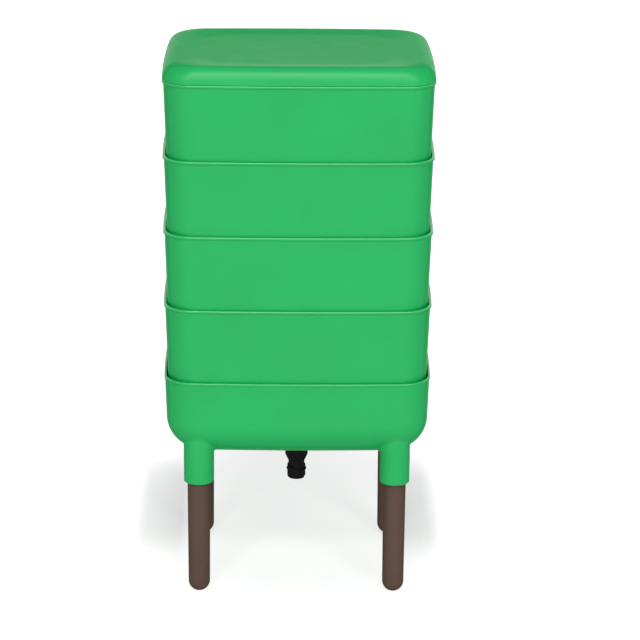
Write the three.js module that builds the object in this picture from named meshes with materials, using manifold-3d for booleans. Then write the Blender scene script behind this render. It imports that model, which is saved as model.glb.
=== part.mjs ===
// Stacking wormery: a collecting bowl on four legs with a twist tap under it, four nesting
// trays with perforated floors, and a lid.
// Millimetres, +Z up, the front towards -Y. The origin is on the ground, at the middle of the feet.

import * as THREE from 'three';
import { mergeGeometries, mergeVertices } from 'three/addons/utils/BufferGeometryUtils.js';
import Module from 'manifold-3d';

const wasm = await Module();
wasm.setup();

// Plan shape, shared by the lid, the trays and the bowl
const rimLength = 382;
const rimDepth = 292;
const cornerRadius = 42;
const cornerSpreadShare = 0.05;
const longSideBow = 5;
const shortSideBow = 4;

// Walls and rims
const wallThickness = 2.4;
const draftAngle = 1.8;
const rimLip = 2;
const rimHeight = 4;
const edgeRound = 1.2;
const seatGap = 0.3;
const overrun = 5;
const smallestStep = 0.01;

// Trays, stacked from the bowl upwards
const trayCount = 4;
const trayHeight = 125;
const nestDepth = 18;
const trayFloor = 3;
const trayBevel = 2.5;
const trayInnerRound = 5;
const holeSize = 8;
const holePitch = 42;
const holeColumns = 7;
const holeRows = 5;

// Ribs inside the trays and the bowl, which carry the tray above
const stackRibThickness = 3;
const stackRibReach = 6;
const stackRibSpacing = 110;

// Bowl
const bowlRimTop = 327;
const bowlHeight = 117;
const bowlRimLip = 1;
const bowlRounding = 56;
const bowlCornerShare = 0.6;
const funnelFall = 4;
const funnelRadius = 40;
const sumpRadius = 30;
const sumpDepth = 14;
const sumpRound = 3;
const sumpPartRadius = 33;

// Legs and their sockets
const legInsetX = 50.5;
const legInsetY = 34;
const footRadius = 15.5;
const footFlat = 0.4;
const legTopRadius = 16.4;
const legWall = 2.4;
const socketRadius = 21.2;
const socketWall = 2.4;
const socketLength = 40;
const socketDraftAngle = 0.5;
const socketFins = 4;
const finThickness = 2;
const finSetback = 3;

// Lid
const lidHeight = 24;
const lidRollHeight = 22;
const lidRollDepth = 15;
const lidRollAside = 7;
const lidInset = 0.5;
const lidCornerSpread = 10;
const lidDish = 2.5;
const lidDishWidth = 34;
const lidDishCorner = 60;
const lidTongueDepth = 9;
const lidTongueGap = 1.6;
const lidTongueThickness = 2.2;

// Sieve plate in the bowl
const sieveThickness = 2.5;
const sieveRimHeight = 7;
const sieveRimThickness = 2.4;
const slotLength = 40;
const slotWidth = 5;
const slotPitchX = 66;
const slotPitchY = 24;
const slotColumns = 4;
const slotRows = 8;

// Tap
const tapRadius = 11.8;
const tapBore = 9;
const tapReach = 58.7;
const tapFlangeRadius = 21;
const tapFlangeThickness = 3;
const gasketThickness = 2;
const washerThickness = 1.5;
const washerRadius = 24;
const nutGripRadius = 22;
const nutGripHeight = 8;
const nutNeckRadius = 16.6;
const nutNeckHeight = 12;
const nutConeHeight = 8;
const nutEdge = 0.9;
const nutNotches = 8;
const nutNotchRadius = 3;
const sleeveRadius = 13.4;
const sleeveHeight = 17.5;
const sleeveFall = 6.2;
const sleeveFallAngle = 120;
const sleeveChamfer = 0.5;
const sleeveLugRadius = 14.5;
const sleeveLugWidth = 3;
const sleeveLugHeight = 3.7;
const sleeveLugRise = 1.7;
const clipThickness = 1.2;
const clipRadius = 13;
const clipOpening = 50;
const clipLip = 0.9;

// Plunger, raised by the pin as the sleeve turns
const plungerTravel = 4.5;
const plungerTurn = 90;
const stemRadius = 4.2;
const headRadius = 13.5;
const headThickness = 3;
const headCrown = 1.6;
const headSpigot = 1.6;
const sealThickness = 2.2;
const sealWidth = 2.8;
const pinRadius = 1.5;
const pinInset = 0.6;
const pinHeight = 5.9;
const slotGap = 0.4;
const guideLength = 12;
const guideDrop = 18;
const guideThickness = 2;
const guideCount = 4;

// Roundness of the turned pieces, and steps of the curved ones
const turnSteps = 28;
const legSteps = 20;
const cornerSteps = 6;
const longSideSteps = 2;
const shortSideSteps = 1;
const roundingSteps = 5;
const domeSteps = 4;
const sieveSeatStep = 3;
const smallSteps = 10;

const radians = THREE.MathUtils.degToRad;
const draft = Math.tan(radians(draftAngle));
const halfTurn = Math.PI;
const quarterTurn = Math.PI / 2;

// Heights that follow from the sizes above
const trayPitch = trayHeight - nestDepth;
const bowlUnder = bowlRimTop - bowlHeight;
const stackTop = bowlRimTop + trayCount * trayPitch;
const socketMouth = bowlUnder - socketLength;
const legTop = bowlUnder - seatGap;
const funnelUnder = bowlUnder - funnelFall;
const sumpUnder = funnelUnder - sumpDepth;
const sumpFloor = sumpUnder + wallThickness;
const gasketTop = sumpFloor + seatGap + gasketThickness;
const flangeUnder = gasketTop + seatGap;
const flangeTop = flangeUnder + tapFlangeThickness;
const washerTop = sumpUnder - seatGap;
const nutTop = washerTop - washerThickness - seatGap;
const nutConeTop = nutTop - nutGripHeight - nutNeckHeight;
const nutConeEnd = nutConeTop - nutConeHeight;
const tapEnd = sumpUnder - tapReach;
const clipUnder = tapEnd + clipLip + seatGap;
const sleeveEnd = clipUnder + clipThickness + seatGap;
const sleeveTopHigh = sleeveEnd + sleeveHeight;
const sleeveTopLow = sleeveTopHigh - sleeveFall;
const pinRest = tapEnd + pinHeight;
const sealUnder = flangeTop + seatGap;
const headUnder = sealUnder + sealThickness + seatGap;
const drainHole = tapRadius + seatGap;

const plastic = (colour, roughness) =>
  new THREE.MeshStandardMaterial({ color: colour, roughness, metalness: 0 });
const green = plastic(0x36b968, 0.45);
const brown = plastic(0x5e4e42, 0.55);
const black = plastic(0x1a1a1c, 0.5);
const rubber = plastic(0x101011, 0.8);
const steel = new THREE.MeshStandardMaterial({ color: 0xb8bcc0, roughness: 0.3, metalness: 1 });

// A geometry as a solid, and a solid as a geometry
function solid(geometry) {
  const loose = geometry.index ? geometry.toNonIndexed() : geometry;
  const bare = new THREE.BufferGeometry().setAttribute('position', loose.getAttribute('position'));
  const merged = mergeVertices(bare);
  return new wasm.Manifold(new wasm.Mesh({
    numProp: 3,
    vertProperties: merged.getAttribute('position').array,
    triVerts: Uint32Array.from(merged.index.array),
  }));
}

function geometryOf(made) {
  const mesh = made.asOriginal().simplify(smallestStep).getMesh();
  const geometry = new THREE.BufferGeometry();
  geometry.setAttribute('position', new THREE.BufferAttribute(mesh.vertProperties, mesh.numProp));
  geometry.setIndex(new THREE.BufferAttribute(mesh.triVerts, 1));
  geometry.computeVertexNormals();
  return geometry;
}

// Turned about the Z axis from [radius, height] points, in either order
function turned(points, steps = turnSteps) {
  const profile = points.map(([radius, height]) => new THREE.Vector2(radius, height));
  if (THREE.ShapeUtils.area(profile) < 0) profile.reverse();
  const onAxis = profile.some((point) => point.x === 0);
  if (onAxis) {
    while (profile[0].x !== 0 || profile.at(-1).x !== 0) profile.push(profile.shift());
  } else {
    profile.push(profile[0].clone());
  }
  return new THREE.LatheGeometry(profile, steps).rotateX(quarterTurn);
}

const pipe = (outer, inner, low, high, steps) =>
  turned([[inner, low], [outer, low], [outer, high], [inner, high]], steps);

const rod = (radius, low, high, steps) =>
  turned([[0, low], [radius, low], [radius, high], [0, high]], steps);

function block(x0, x1, y0, y1, z0, z1) {
  return new THREE.BoxGeometry(x1 - x0, y1 - y0, z1 - z0)
    .translate((x0 + x1) / 2, (y0 + y1) / 2, (z0 + z1) / 2);
}

// Radius of the arc over a half chord that bulges by bow
const arcRadius = (halfChord, bow) => (halfChord ** 2 + bow ** 2) / (2 * bow);

// A rounded rectangle with bulging sides: each side is an arc, and each corner an arc that is
// tangent to both its neighbours. Points run anticlockwise from above, from the +X side.
function outline(halfLength, halfDepth, radius) {
  const longArc = arcRadius(halfLength, longSideBow);
  const shortArc = arcRadius(halfDepth, shortSideBow);
  const longCentre = new THREE.Vector2(0, halfDepth - longArc);
  const shortCentre = new THREE.Vector2(halfLength - shortArc, 0);
  const between = shortCentre.clone().sub(longCentre);
  const span = between.length();
  const along = (span ** 2 + (longArc - radius) ** 2 - (shortArc - radius) ** 2) / (2 * span);
  const aside = Math.sqrt((longArc - radius) ** 2 - along ** 2);
  const unit = between.divideScalar(span);
  const corner = longCentre.clone()
    .addScaledVector(unit, along)
    .addScaledVector(new THREE.Vector2(unit.y, -unit.x), aside);
  const fromShort = corner.clone().sub(shortCentre).angle();
  const toLong = corner.clone().sub(longCentre).angle();
  const quarter = [
    ...arc(shortCentre, shortArc, 0, fromShort, shortSideSteps),
    ...arc(corner, radius, fromShort, toLong, cornerSteps),
    ...arc(longCentre, longArc, toLong, quarterTurn, longSideSteps),
  ];
  const top = new THREE.Vector2(0, halfDepth);
  const back = [top, ...quarter.slice(1).reverse()];
  const flip = (points, x, y) => points.map((p) => new THREE.Vector2(p.x * x, p.y * y));
  return [...quarter, ...flip(back, -1, 1), ...flip(quarter, -1, -1), ...flip(back, 1, -1)];
}

// Points of an arc, without its last one
function arc(centre, radius, from, to, steps) {
  return Array.from({ length: steps }, (_, i) => {
    const angle = from + ((to - from) * i) / steps;
    return new THREE.Vector2(radius, 0).rotateAround(new THREE.Vector2(), angle).add(centre);
  });
}

// A ring of the shared plan, taken in by inset, and by aside more at its two ends, at a height
function planRing(inset, z, radius = cornerRadius - inset, aside = 0) {
  return outline(rimLength / 2 - inset - aside, rimDepth / 2 - inset, radius)
    .map((p) => new THREE.Vector3(p.x, p.y, z));
}

// A round ring whose points stand at the same bearings as those of the plan
function roundRing(radius, z) {
  return planRing(0, z).map((p) => {
    const bearing = Math.atan2(p.y, p.x);
    return new THREE.Vector3(radius * Math.cos(bearing), radius * Math.sin(bearing), z);
  });
}

// A closed skin through rings of as many points each. It is either endless, or closed at its
// first and last ring by a fan about the middle.
function loft(rings, endless = false) {
  const count = rings[0].length;
  const points = rings.flat();
  const index = [];
  const last = endless ? rings.length : rings.length - 1;
  for (let ring = 0; ring < last; ring++) {
    const next = (ring + 1) % rings.length;
    for (let i = 0; i < count; i++) {
      const j = (i + 1) % count;
      const [a, b] = [ring * count + i, ring * count + j];
      const [c, d] = [next * count + j, next * count + i];
      index.push(a, b, c, a, c, d);
    }
  }
  if (!endless) {
    const first = points.push(new THREE.Vector3(0, 0, rings[0][0].z)) - 1;
    const end = points.push(new THREE.Vector3(0, 0, rings.at(-1)[0].z)) - 1;
    const base = (rings.length - 1) * count;
    for (let i = 0; i < count; i++) {
      const j = (i + 1) % count;
      index.push(first, j, i, end, base + i, base + j);
    }
  }
  const geometry = new THREE.BufferGeometry().setFromPoints(points);
  geometry.setIndex(index);
  return geometry;
}

// A ring of a wall that falls away from its rim. Its corners open out a little with the depth.
function wallRing(inset, z, depth) {
  return planRing(inset, z, cornerRadius - inset + depth * cornerSpreadShare);
}

// The angles of a rounded edge from `from` to `to`, where 0 points outwards and a quarter turn up
const edgeAngles = (from, to, steps) =>
  Array.from({ length: steps + 1 }, (_, i) => from + ((to - from) * i) / steps);

// Rings of a rim, from under its lip, over its top, to its inner edge
function rimRings(lip, top) {
  const inner = lip - rimHeight * draft + wallThickness;
  return [
    planRing(lip, top - rimHeight),
    planRing(0, top - rimHeight + edgeRound / 2),
    planRing(0, top - edgeRound),
    planRing(edgeRound, top),
    planRing(inner - edgeRound / 2, top),
  ];
}

// The ribs that carry the next tray, as plain blocks that stand from low to high. They reach in
// from the rim's edge, and what is outside the wall is cut away afterwards.
function stackRibs(low, high) {
  const reach = rimLip + wallThickness + trayBevel + stackRibReach;
  const halfLength = rimLength / 2;
  const halfDepth = rimDepth / 2;
  const half = stackRibThickness / 2;
  const blocks = [];
  for (const side of [-1, 1]) {
    for (const place of [-1, 0, 1]) {
      const x = place * stackRibSpacing;
      const rib = block(x - half, x + half, halfDepth - reach, halfDepth, low, high);
      blocks.push(side > 0 ? rib : rib.rotateZ(halfTurn));
    }
    const rib = block(halfLength - reach, halfLength, -half, half, low, high);
    blocks.push(side > 0 ? rib : rib.rotateZ(halfTurn));
  }
  return solid(mergeGeometries(blocks));
}

// A grid of equal blocks that cuts the holes of a floor between low and high
function holeGrid(columns, rows, pitchX, pitchY, sizeX, sizeY, low, high) {
  const cutters = [];
  for (let column = 0; column < columns; column++) {
    for (let row = 0; row < rows; row++) {
      const x = (column - (columns - 1) / 2) * pitchX;
      const y = (row - (rows - 1) / 2) * pitchY;
      cutters.push(block(x - sizeX / 2, x + sizeX / 2, y - sizeY / 2, y + sizeY / 2, low, high));
    }
  }
  return solid(mergeGeometries(cutters));
}

// A tray: a drafted tub with a lip round its rim, ribs inside and a floor full of holes
function tray(rimTop) {
  const under = rimTop - trayHeight;
  const floorTop = under + trayFloor;
  const lipUnder = rimTop - rimHeight;
  const outer = (z) => rimLip + (lipUnder - z) * draft;
  const inner = (z) => outer(z) + wallThickness;
  const ring = (inset, z) => wallRing(inset, z, lipUnder - z);
  const body = solid(loft([
    ring(outer(under) + trayBevel, under),
    ring(outer(under + trayBevel), under + trayBevel),
    ...rimRings(rimLip, rimTop),
  ]));
  const hollow = solid(loft([
    ring(inner(floorTop) + trayInnerRound, floorTop),
    ring(inner(floorTop + trayInnerRound), floorTop + trayInnerRound),
    planRing(inner(rimTop - edgeRound), rimTop - edgeRound),
    planRing(inner(rimTop) - edgeRound / 2, rimTop),
    planRing(inner(rimTop) - edgeRound / 2, rimTop + overrun),
  ]));
  const ribs = stackRibs(floorTop - trayFloor / 2, rimTop - nestDepth - seatGap);
  const holes = holeGrid(
    holeColumns, holeRows, holePitch, holePitch, holeSize, holeSize,
    under - overrun, floorTop + overrun,
  );
  return body.subtract(hollow).add(ribs.intersect(body)).subtract(holes);
}

// Inset of the bowl's outer face at a height above its rounding
const bowlRoundingTop = bowlUnder + bowlRounding;
const bowlOuter = (z) => bowlRimLip + (bowlRimTop - rimHeight - z) * draft;
const bowlEdgeCentre = bowlOuter(bowlRoundingTop) + bowlRounding;

// A ring of the bowl's rounded lower edge, taken in by a thickness, and its inset. The angle runs
// from 0 at the top of the rounding to minus a quarter turn at the flat underside.
function bowlEdge(thickness, angle) {
  const depth = bowlRimTop - rimHeight - bowlRoundingTop;
  const startInset = bowlOuter(bowlRoundingTop) + thickness;
  const startRadius = cornerRadius - startInset + depth * cornerSpreadShare;
  const reach = bowlRounding - thickness;
  const inset = bowlEdgeCentre - reach * Math.cos(angle);
  return {
    inset,
    radius: startRadius - (inset - startInset) * bowlCornerShare,
    z: bowlRoundingTop + reach * Math.sin(angle),
  };
}

const bowlEdgeRings = (thickness) =>
  edgeAngles(-quarterTurn, 0, roundingSteps).map((angle) => {
    const { inset, radius, z } = bowlEdge(thickness, angle);
    return planRing(inset, z, radius);
  });

// The bowl's outer form up to the top of its rounding, without its sump, grown by a clearance
function bowlForm(clearance) {
  return solid(loft([
    roundRing(funnelRadius, funnelUnder - clearance),
    ...bowlEdgeRings(-clearance),
    planRing(bowlOuter(bowlRoundingTop) - clearance, bowlRoundingTop + overrun),
  ]));
}

// The bowl's inner surface, from its sump to above its rim, as a solid
function bowlHollow() {
  const inner = (z) => bowlOuter(z) + wallThickness;
  return solid(loft([
    roundRing(sumpRadius - sumpRound, sumpFloor),
    roundRing(sumpRadius, sumpFloor + sumpRound),
    roundRing(sumpRadius, funnelUnder + wallThickness - sumpRound),
    roundRing(funnelRadius, funnelUnder + wallThickness),
    ...bowlEdgeRings(wallThickness),
    planRing(inner(bowlRimTop - edgeRound), bowlRimTop - edgeRound),
    planRing(inner(bowlRimTop) - edgeRound / 2, bowlRimTop),
    planRing(inner(bowlRimTop) - edgeRound / 2, bowlRimTop + overrun),
  ]));
}

// A leg socket under the bowl's rounding: a tube with fins that grip the leg
function socket(x, y) {
  const high = bowlRoundingTop;
  const flare = Math.tan(radians(socketDraftAngle));
  const top = socketRadius + (high - socketMouth) * flare;
  const inner = socketRadius - socketWall;
  const middle = socketRadius - socketWall / 2;
  let made = solid(turned([
    [inner, socketMouth], [socketRadius - edgeRound / 2, socketMouth],
    [socketRadius, socketMouth + edgeRound / 2], [top, high], [inner, high],
  ], legSteps));
  const grip = legTopRadius + seatGap;
  const half = finThickness / 2;
  for (let i = 0; i < socketFins; i++) {
    const angle = ((i + 1 / 2) * 2 * halfTurn) / socketFins;
    const fin = block(grip, middle, -half, half, socketMouth + finSetback, high).rotateZ(angle);
    made = made.add(solid(fin));
  }
  return made.translate([x, y, 0]).subtract(bowlForm(seatGap));
}

const legX = rimLength / 2 - legInsetX;
const legY = rimDepth / 2 - legInsetY;
const legPlaces = [
  ['front_left', -legX, -legY],
  ['front_right', legX, -legY],
  ['back_left', -legX, legY],
  ['back_right', legX, legY],
];

// The bowl and its sump: a round-bottomed tub with a cup for the tap and the ribs for a tray
function bowl() {
  const outerRings = [
    roundRing(sumpRadius + wallThickness - sumpRound, sumpUnder),
    roundRing(sumpRadius + wallThickness, sumpUnder + sumpRound),
    roundRing(sumpRadius + wallThickness, funnelUnder - sumpRound),
    roundRing(funnelRadius, funnelUnder),
    ...bowlEdgeRings(0),
    ...rimRings(bowlRimLip, bowlRimTop),
  ];
  const body = solid(loft(outerRings));
  const ribs = stackRibs(bowlRoundingTop - bowlRounding / 2, bowlRimTop - nestDepth - seatGap);
  const drain = solid(rod(drainHole, sumpUnder - overrun, sumpFloor + overrun));
  return body.subtract(bowlHollow()).add(ribs.intersect(body)).subtract(drain);
}

// The round core through which the bowl's moulding is parted into tub and sump
function sumpCore(radius) {
  return solid(loft([
    roundRing(radius, sumpUnder - overrun), roundRing(radius, bowlUnder + overrun),
  ]));
}

// A leg: a slightly tapered tube with a domed foot that has a small flat under it
function leg() {
  const centre = footRadius - footFlat;
  const inside = footRadius - legWall;
  const start = -Math.acos(Math.sqrt(2 * footRadius * footFlat - footFlat ** 2) / footRadius);
  const dome = (radius, from, steps) =>
    Array.from({ length: steps + 1 }, (_, i) => {
      const angle = from * (1 - i / steps);
      return [radius * Math.cos(angle), centre + radius * Math.sin(angle)];
    });
  return turned([
    [0, 0],
    ...dome(footRadius, start, domeSteps),
    [legTopRadius, legTop],
    [legTopRadius - legWall, legTop],
    ...dome(inside, -quarterTurn, domeSteps / 2).reverse().slice(0, -1),
    [0, centre - inside],
  ], legSteps);
}

// The lid: a shallow cap with a soft edge and a dished top. A ledge under it rests on the top
// tray's rim, and a tongue drops inside that rim.
function lid() {
  const under = stackTop + seatGap;
  const top = stackTop + lidHeight;
  const edgeCentre = lidRollDepth + lidInset;
  const tongueOuter = rimLip + wallThickness + lidTongueGap;
  const tongueInner = tongueOuter + lidTongueThickness;
  const edge = (shrink) => edgeAngles(0, quarterTurn, roundingSteps).map((angle) => {
    const inset = edgeCentre - (lidRollDepth - shrink) * Math.cos(angle);
    const rise = (lidRollHeight - shrink) * Math.sin(angle);
    const turn = 1 - Math.cos(angle);
    const radius = cornerRadius - inset + lidCornerSpread * turn;
    return planRing(inset, top - lidRollHeight + rise, radius, lidRollAside * turn);
  });
  const skin = (shrink, low) => solid(loft([
    planRing(shrink + lidInset, low),
    ...edge(shrink),
    planRing(edgeCentre + lidDishWidth, top - shrink - lidDish, lidDishCorner, lidRollAside),
  ]));
  const seatOuter = wallThickness / 2 + lidInset;
  const seatTop = under + wallThickness;
  const seat = solid(loft([
    planRing(seatOuter, under),
    planRing(seatOuter, seatTop),
    planRing(tongueInner, seatTop),
    planRing(tongueInner, under - lidTongueDepth),
    planRing(tongueOuter, under - lidTongueDepth),
    planRing(tongueOuter, under),
  ], true));
  return skin(0, under).subtract(skin(wallThickness, under - overrun)).add(seat);
}

// The sieve plate, which rests on the bowl's rounded edge and keeps solids out of the tap
function sievePlate() {
  const angle = -(1 - sieveSeatStep / roundingSteps) * quarterTurn;
  const { inset, radius, z: under } = bowlEdge(wallThickness + seatGap, angle);
  const top = under + sieveThickness;
  const rimTop = top + sieveRimHeight;
  const plate = solid(loft([
    planRing(inset, under, radius),
    planRing(inset, rimTop, radius),
    planRing(inset + sieveRimThickness, rimTop, radius - sieveRimThickness),
    planRing(inset + sieveRimThickness, top, radius - sieveRimThickness),
  ]));
  const slots = holeGrid(
    slotColumns, slotRows, slotPitchX, slotPitchY, slotLength, slotWidth,
    under - overrun, top + overrun,
  );
  return plate.subtract(slots);
}

// A band round the Z axis between two radii, whose lower and upper faces climb with the bearing
function climbingBand(inner, outer, from, to, lowAt, highAt) {
  const steps = smallSteps;
  const points = [];
  const index = [];
  for (let i = 0; i <= steps; i++) {
    const bearing = from + ((to - from) * i) / steps;
    const share = i / steps;
    const spot = (radius, z) =>
      new THREE.Vector3(radius * Math.cos(bearing), radius * Math.sin(bearing), z);
    points.push(
      spot(inner, lowAt(share)), spot(outer, lowAt(share)),
      spot(outer, highAt(share)), spot(inner, highAt(share)),
    );
  }
  for (let i = 0; i < steps; i++) {
    for (let side = 0; side < 4; side++) {
      const next = (side + 1) % 4;
      const [a, b] = [i * 4 + side, i * 4 + next];
      const [c, d] = [b + 4, a + 4];
      index.push(a, c, b, a, d, c);
    }
  }
  const end = steps * 4;
  index.push(0, 1, 2, 0, 2, 3, end, end + 2, end + 1, end, end + 3, end + 2);
  const geometry = new THREE.BufferGeometry().setFromPoints(points);
  geometry.setIndex(index);
  return solid(geometry);
}

// The tap's body: a flange in the sump, and a tube through the bowl with a slot at its back, in
// which the pin rises
function tapBody() {
  const groove = tapRadius - edgeRound;
  const grooveLow = tapEnd + clipLip;
  const grooveHigh = sleeveEnd;
  const tube = solid(turned([
    [tapBore, tapEnd], [tapRadius, tapEnd], [tapRadius, grooveLow], [groove, grooveLow],
    [groove, grooveHigh], [tapRadius, grooveHigh], [tapRadius, flangeUnder],
    [tapFlangeRadius, flangeUnder], [tapFlangeRadius, flangeTop - edgeRound],
    [tapFlangeRadius - edgeRound, flangeTop], [tapBore, flangeTop],
  ]));
  const half = pinRadius + seatGap;
  const slot = block(
    -half, half, 0, tapRadius + overrun,
    pinRest - half, pinRest + plungerTravel + half,
  );
  return tube.subtract(solid(slot));
}

function tapNut() {
  const hole = tapRadius + seatGap;
  let made = solid(turned([
    [hole, nutConeEnd], [hole + nutEdge, nutConeEnd], [nutNeckRadius, nutConeTop],
    [nutNeckRadius, nutTop - nutGripHeight], [nutGripRadius - edgeRound, nutTop - nutGripHeight],
    [nutGripRadius, nutTop - nutGripHeight + edgeRound], [nutGripRadius, nutTop], [hole, nutTop],
  ]));
  for (let i = 0; i < nutNotches; i++) {
    const angle = (i * 2 * halfTurn) / nutNotches;
    const notch = rod(nutNotchRadius, nutTop - nutGripHeight - overrun, nutTop + overrun, smallSteps)
      .translate(nutGripRadius + nutNotchRadius / 2, 0, 0)
      .rotateZ(angle);
    made = made.subtract(solid(notch));
  }
  return made;
}

// The turning sleeve. Its top edge falls across the front, from left to right. The slot at its
// back falls too, so that it raises the pin as the sleeve turns anticlockwise from above.
function tapSleeve() {
  const inner = tapRadius + seatGap;
  const outside = sleeveLugRadius + overrun;
  let made = solid(turned([
    [inner, sleeveEnd], [sleeveRadius - sleeveChamfer, sleeveEnd],
    [sleeveRadius, sleeveEnd + sleeveChamfer], [sleeveRadius, sleeveTopHigh],
    [inner, sleeveTopHigh],
  ]));
  const fallEnd = halfTurn + radians(sleeveFallAngle);
  const above = () => sleeveTopHigh + overrun;
  const fall = (share) => sleeveTopHigh - (sleeveTopHigh - sleeveTopLow) * share;
  const low = () => sleeveTopLow;
  made = made.subtract(climbingBand(tapBore, outside, halfTurn, fallEnd, fall, above));
  made = made.subtract(
    climbingBand(tapBore, outside, fallEnd, fallEnd + radians(sleeveFallAngle), low, above),
  );
  const half = sleeveLugWidth / 2;
  const lugTop = sleeveTopLow + sleeveLugRise;
  const middle = (inner + sleeveRadius) / 2;
  const width = pinRadius + slotGap;
  const margin = width / sleeveRadius;
  const slope = plungerTravel / radians(plungerTurn);
  const slotHigh = pinRest + plungerTravel + slope * margin;
  const slotFall = plungerTravel + 2 * slope * margin;
  for (const side of [0, halfTurn]) {
    const lug = block(middle, sleeveLugRadius, -half, half, lugTop - sleeveLugHeight, lugTop);
    made = made.add(solid(lug.rotateZ(side)));
  }
  const slot = climbingBand(
    tapBore, outside, -margin, radians(plungerTurn) + margin,
    (share) => slotHigh - slotFall * share - width,
    (share) => slotHigh - slotFall * share + width,
  );
  return made.subtract(slot);
}

// A split ring in the groove at the end of the tap, which carries the sleeve
function tapClip() {
  const inner = tapRadius - edgeRound + seatGap;
  const half = radians(clipOpening / 2);
  const shape = new THREE.Shape();
  shape.absarc(0, 0, clipRadius, half, 2 * halfTurn - half, false);
  shape.absarc(0, 0, inner, 2 * halfTurn - half, half, true);
  shape.closePath();
  const options = { depth: clipThickness, bevelEnabled: false, curveSegments: turnSteps };
  return new THREE.ExtrudeGeometry(shape, options).translate(0, 0, clipUnder);
}

// The plunger: a stem with guides in the bore, and a head that closes the bore from above
function plunger() {
  const spigotRadius = tapBore - seatGap;
  const spigotUnder = headUnder - headSpigot;
  let made = solid(turned([
    [0, pinRest - 2 * pinRadius], [stemRadius, pinRest - 2 * pinRadius],
    [stemRadius, spigotUnder], [spigotRadius, spigotUnder], [spigotRadius, headUnder],
    [headRadius, headUnder], [headRadius, headUnder + headThickness],
    [stemRadius, headUnder + headThickness + headCrown], [0, headUnder + headThickness + headCrown],
  ]));
  const guideLow = flangeUnder - guideDrop - guideLength;
  const half = guideThickness / 2;
  for (let i = 0; i < guideCount; i++) {
    const guide = block(0, spigotRadius, -half, half, guideLow, guideLow + guideLength)
      .rotateZ(radians(45) + (i * 2 * halfTurn) / guideCount);
    made = made.add(solid(guide));
  }
  const hole = rod(pinRadius + seatGap, -sleeveRadius, sleeveRadius, smallSteps)
    .rotateX(quarterTurn).translate(0, 0, pinRest);
  return made.subtract(solid(hole));
}

// The pin, which stands out of the stem towards the back
function plungerPin() {
  return rod(pinRadius, pinInset - sleeveRadius, stemRadius, smallSteps)
    .rotateX(quarterTurn).translate(0, 0, pinRest);
}

// Each piece is a named mesh of a group that stands for the whole wormery
const wormery = new THREE.Group();

function piece(name, made, material) {
  const geometry = made.isBufferGeometry ? made : geometryOf(made);
  const mesh = new THREE.Mesh(geometry, material);
  mesh.name = name;
  wormery.add(mesh);
  return mesh;
}

// The tub, the sump and the sockets are one moulding, parted by a clearance so that the collision
// shapes of each leave the space under the bowl free
const moulding = bowl();
piece('collecting_bowl', moulding.subtract(sumpCore(sumpPartRadius)), green);
piece('bowl_sump', moulding.intersect(sumpCore(sumpPartRadius - seatGap)), green);
for (const [place, x, y] of legPlaces) {
  piece(`socket_${place}`, socket(x, y), green);
  piece(`leg_${place}`, leg(), brown).position.set(x, y, 0);
}
piece('sieve_plate', sievePlate(), green);
for (let i = 0; i < trayCount; i++) {
  piece(`tray_${trayCount - i}`, tray(bowlRimTop + (i + 1) * trayPitch), green);
}
piece('lid', lid(), green);
piece('tap_body', tapBody(), black);
piece('tap_gasket', pipe(tapFlangeRadius, drainHole, sumpFloor + seatGap, gasketTop), rubber);
piece('tap_washer', pipe(washerRadius, drainHole, washerTop - washerThickness, washerTop), black);
piece('tap_nut', tapNut(), black);
piece('tap_sleeve', tapSleeve(), black);
piece('tap_clip', tapClip(), black);
piece('plunger', plunger(), black);
piece(
  'plunger_seal',
  pipe(tapBore + sealWidth, tapBore, sealUnder, sealUnder + sealThickness),
  rubber,
);
piece('plunger_pin', plungerPin(), steel);

export default wormery;
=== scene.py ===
from math import cos, pi, radians, sin, tan

import bpy
import numpy as np
from bpy.props import FloatProperty, FloatVectorProperty, IntProperty, PointerProperty
from mathutils import Matrix, Vector


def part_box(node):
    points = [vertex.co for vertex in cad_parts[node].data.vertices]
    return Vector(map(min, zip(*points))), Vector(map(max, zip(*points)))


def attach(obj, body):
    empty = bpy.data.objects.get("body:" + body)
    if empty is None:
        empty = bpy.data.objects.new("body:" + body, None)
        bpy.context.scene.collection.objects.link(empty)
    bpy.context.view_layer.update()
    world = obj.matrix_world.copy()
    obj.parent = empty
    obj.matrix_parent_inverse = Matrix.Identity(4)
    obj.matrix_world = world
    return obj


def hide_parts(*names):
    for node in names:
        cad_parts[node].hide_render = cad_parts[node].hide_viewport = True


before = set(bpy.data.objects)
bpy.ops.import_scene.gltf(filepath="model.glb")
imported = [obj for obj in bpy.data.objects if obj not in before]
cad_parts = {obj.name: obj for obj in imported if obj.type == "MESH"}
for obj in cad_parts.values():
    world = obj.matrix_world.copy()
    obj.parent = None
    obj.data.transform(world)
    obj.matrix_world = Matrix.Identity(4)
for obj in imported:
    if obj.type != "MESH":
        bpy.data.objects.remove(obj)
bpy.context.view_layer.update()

bl_info = {
    "name": "Stacking wormery",
    "version": (1, 0, 0),
    "blender": (4, 5, 0),
    "location": "View3D > Sidebar > Wormery",
    "description": "Nesting worm trays and a lid on a collecting bowl with a tap, on push-in legs",
    "category": "Add Mesh",
}

TRAYS = ("tray_1", "tray_2", "tray_3", "tray_4")
LEGS = ("leg_front_left", "leg_front_right", "leg_back_left", "leg_back_right")
SOCKETS = tuple(name.replace("leg", "socket") for name in LEGS)

# Steps round a quarter of the plan: half a short side, a corner, half a long side
QUARTER = (8, 20, 12)
HOLE_POINTS = 16
TURN = 2 * pi
GAP = 0.0003

# On a profile: how far beyond an arc its line is held straight, and the most that an arc takes up
# of a line
HOLD = 0.0012
MOST_CUT = 0.49


def low(node):
    """Lowest height of a node."""
    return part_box(node)[0].z


def high(node):
    """Greatest height of a node."""
    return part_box(node)[1].z


def reach(node):
    """Half the extent of a node along X."""
    return (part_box(node)[1].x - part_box(node)[0].x) / 2


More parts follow.
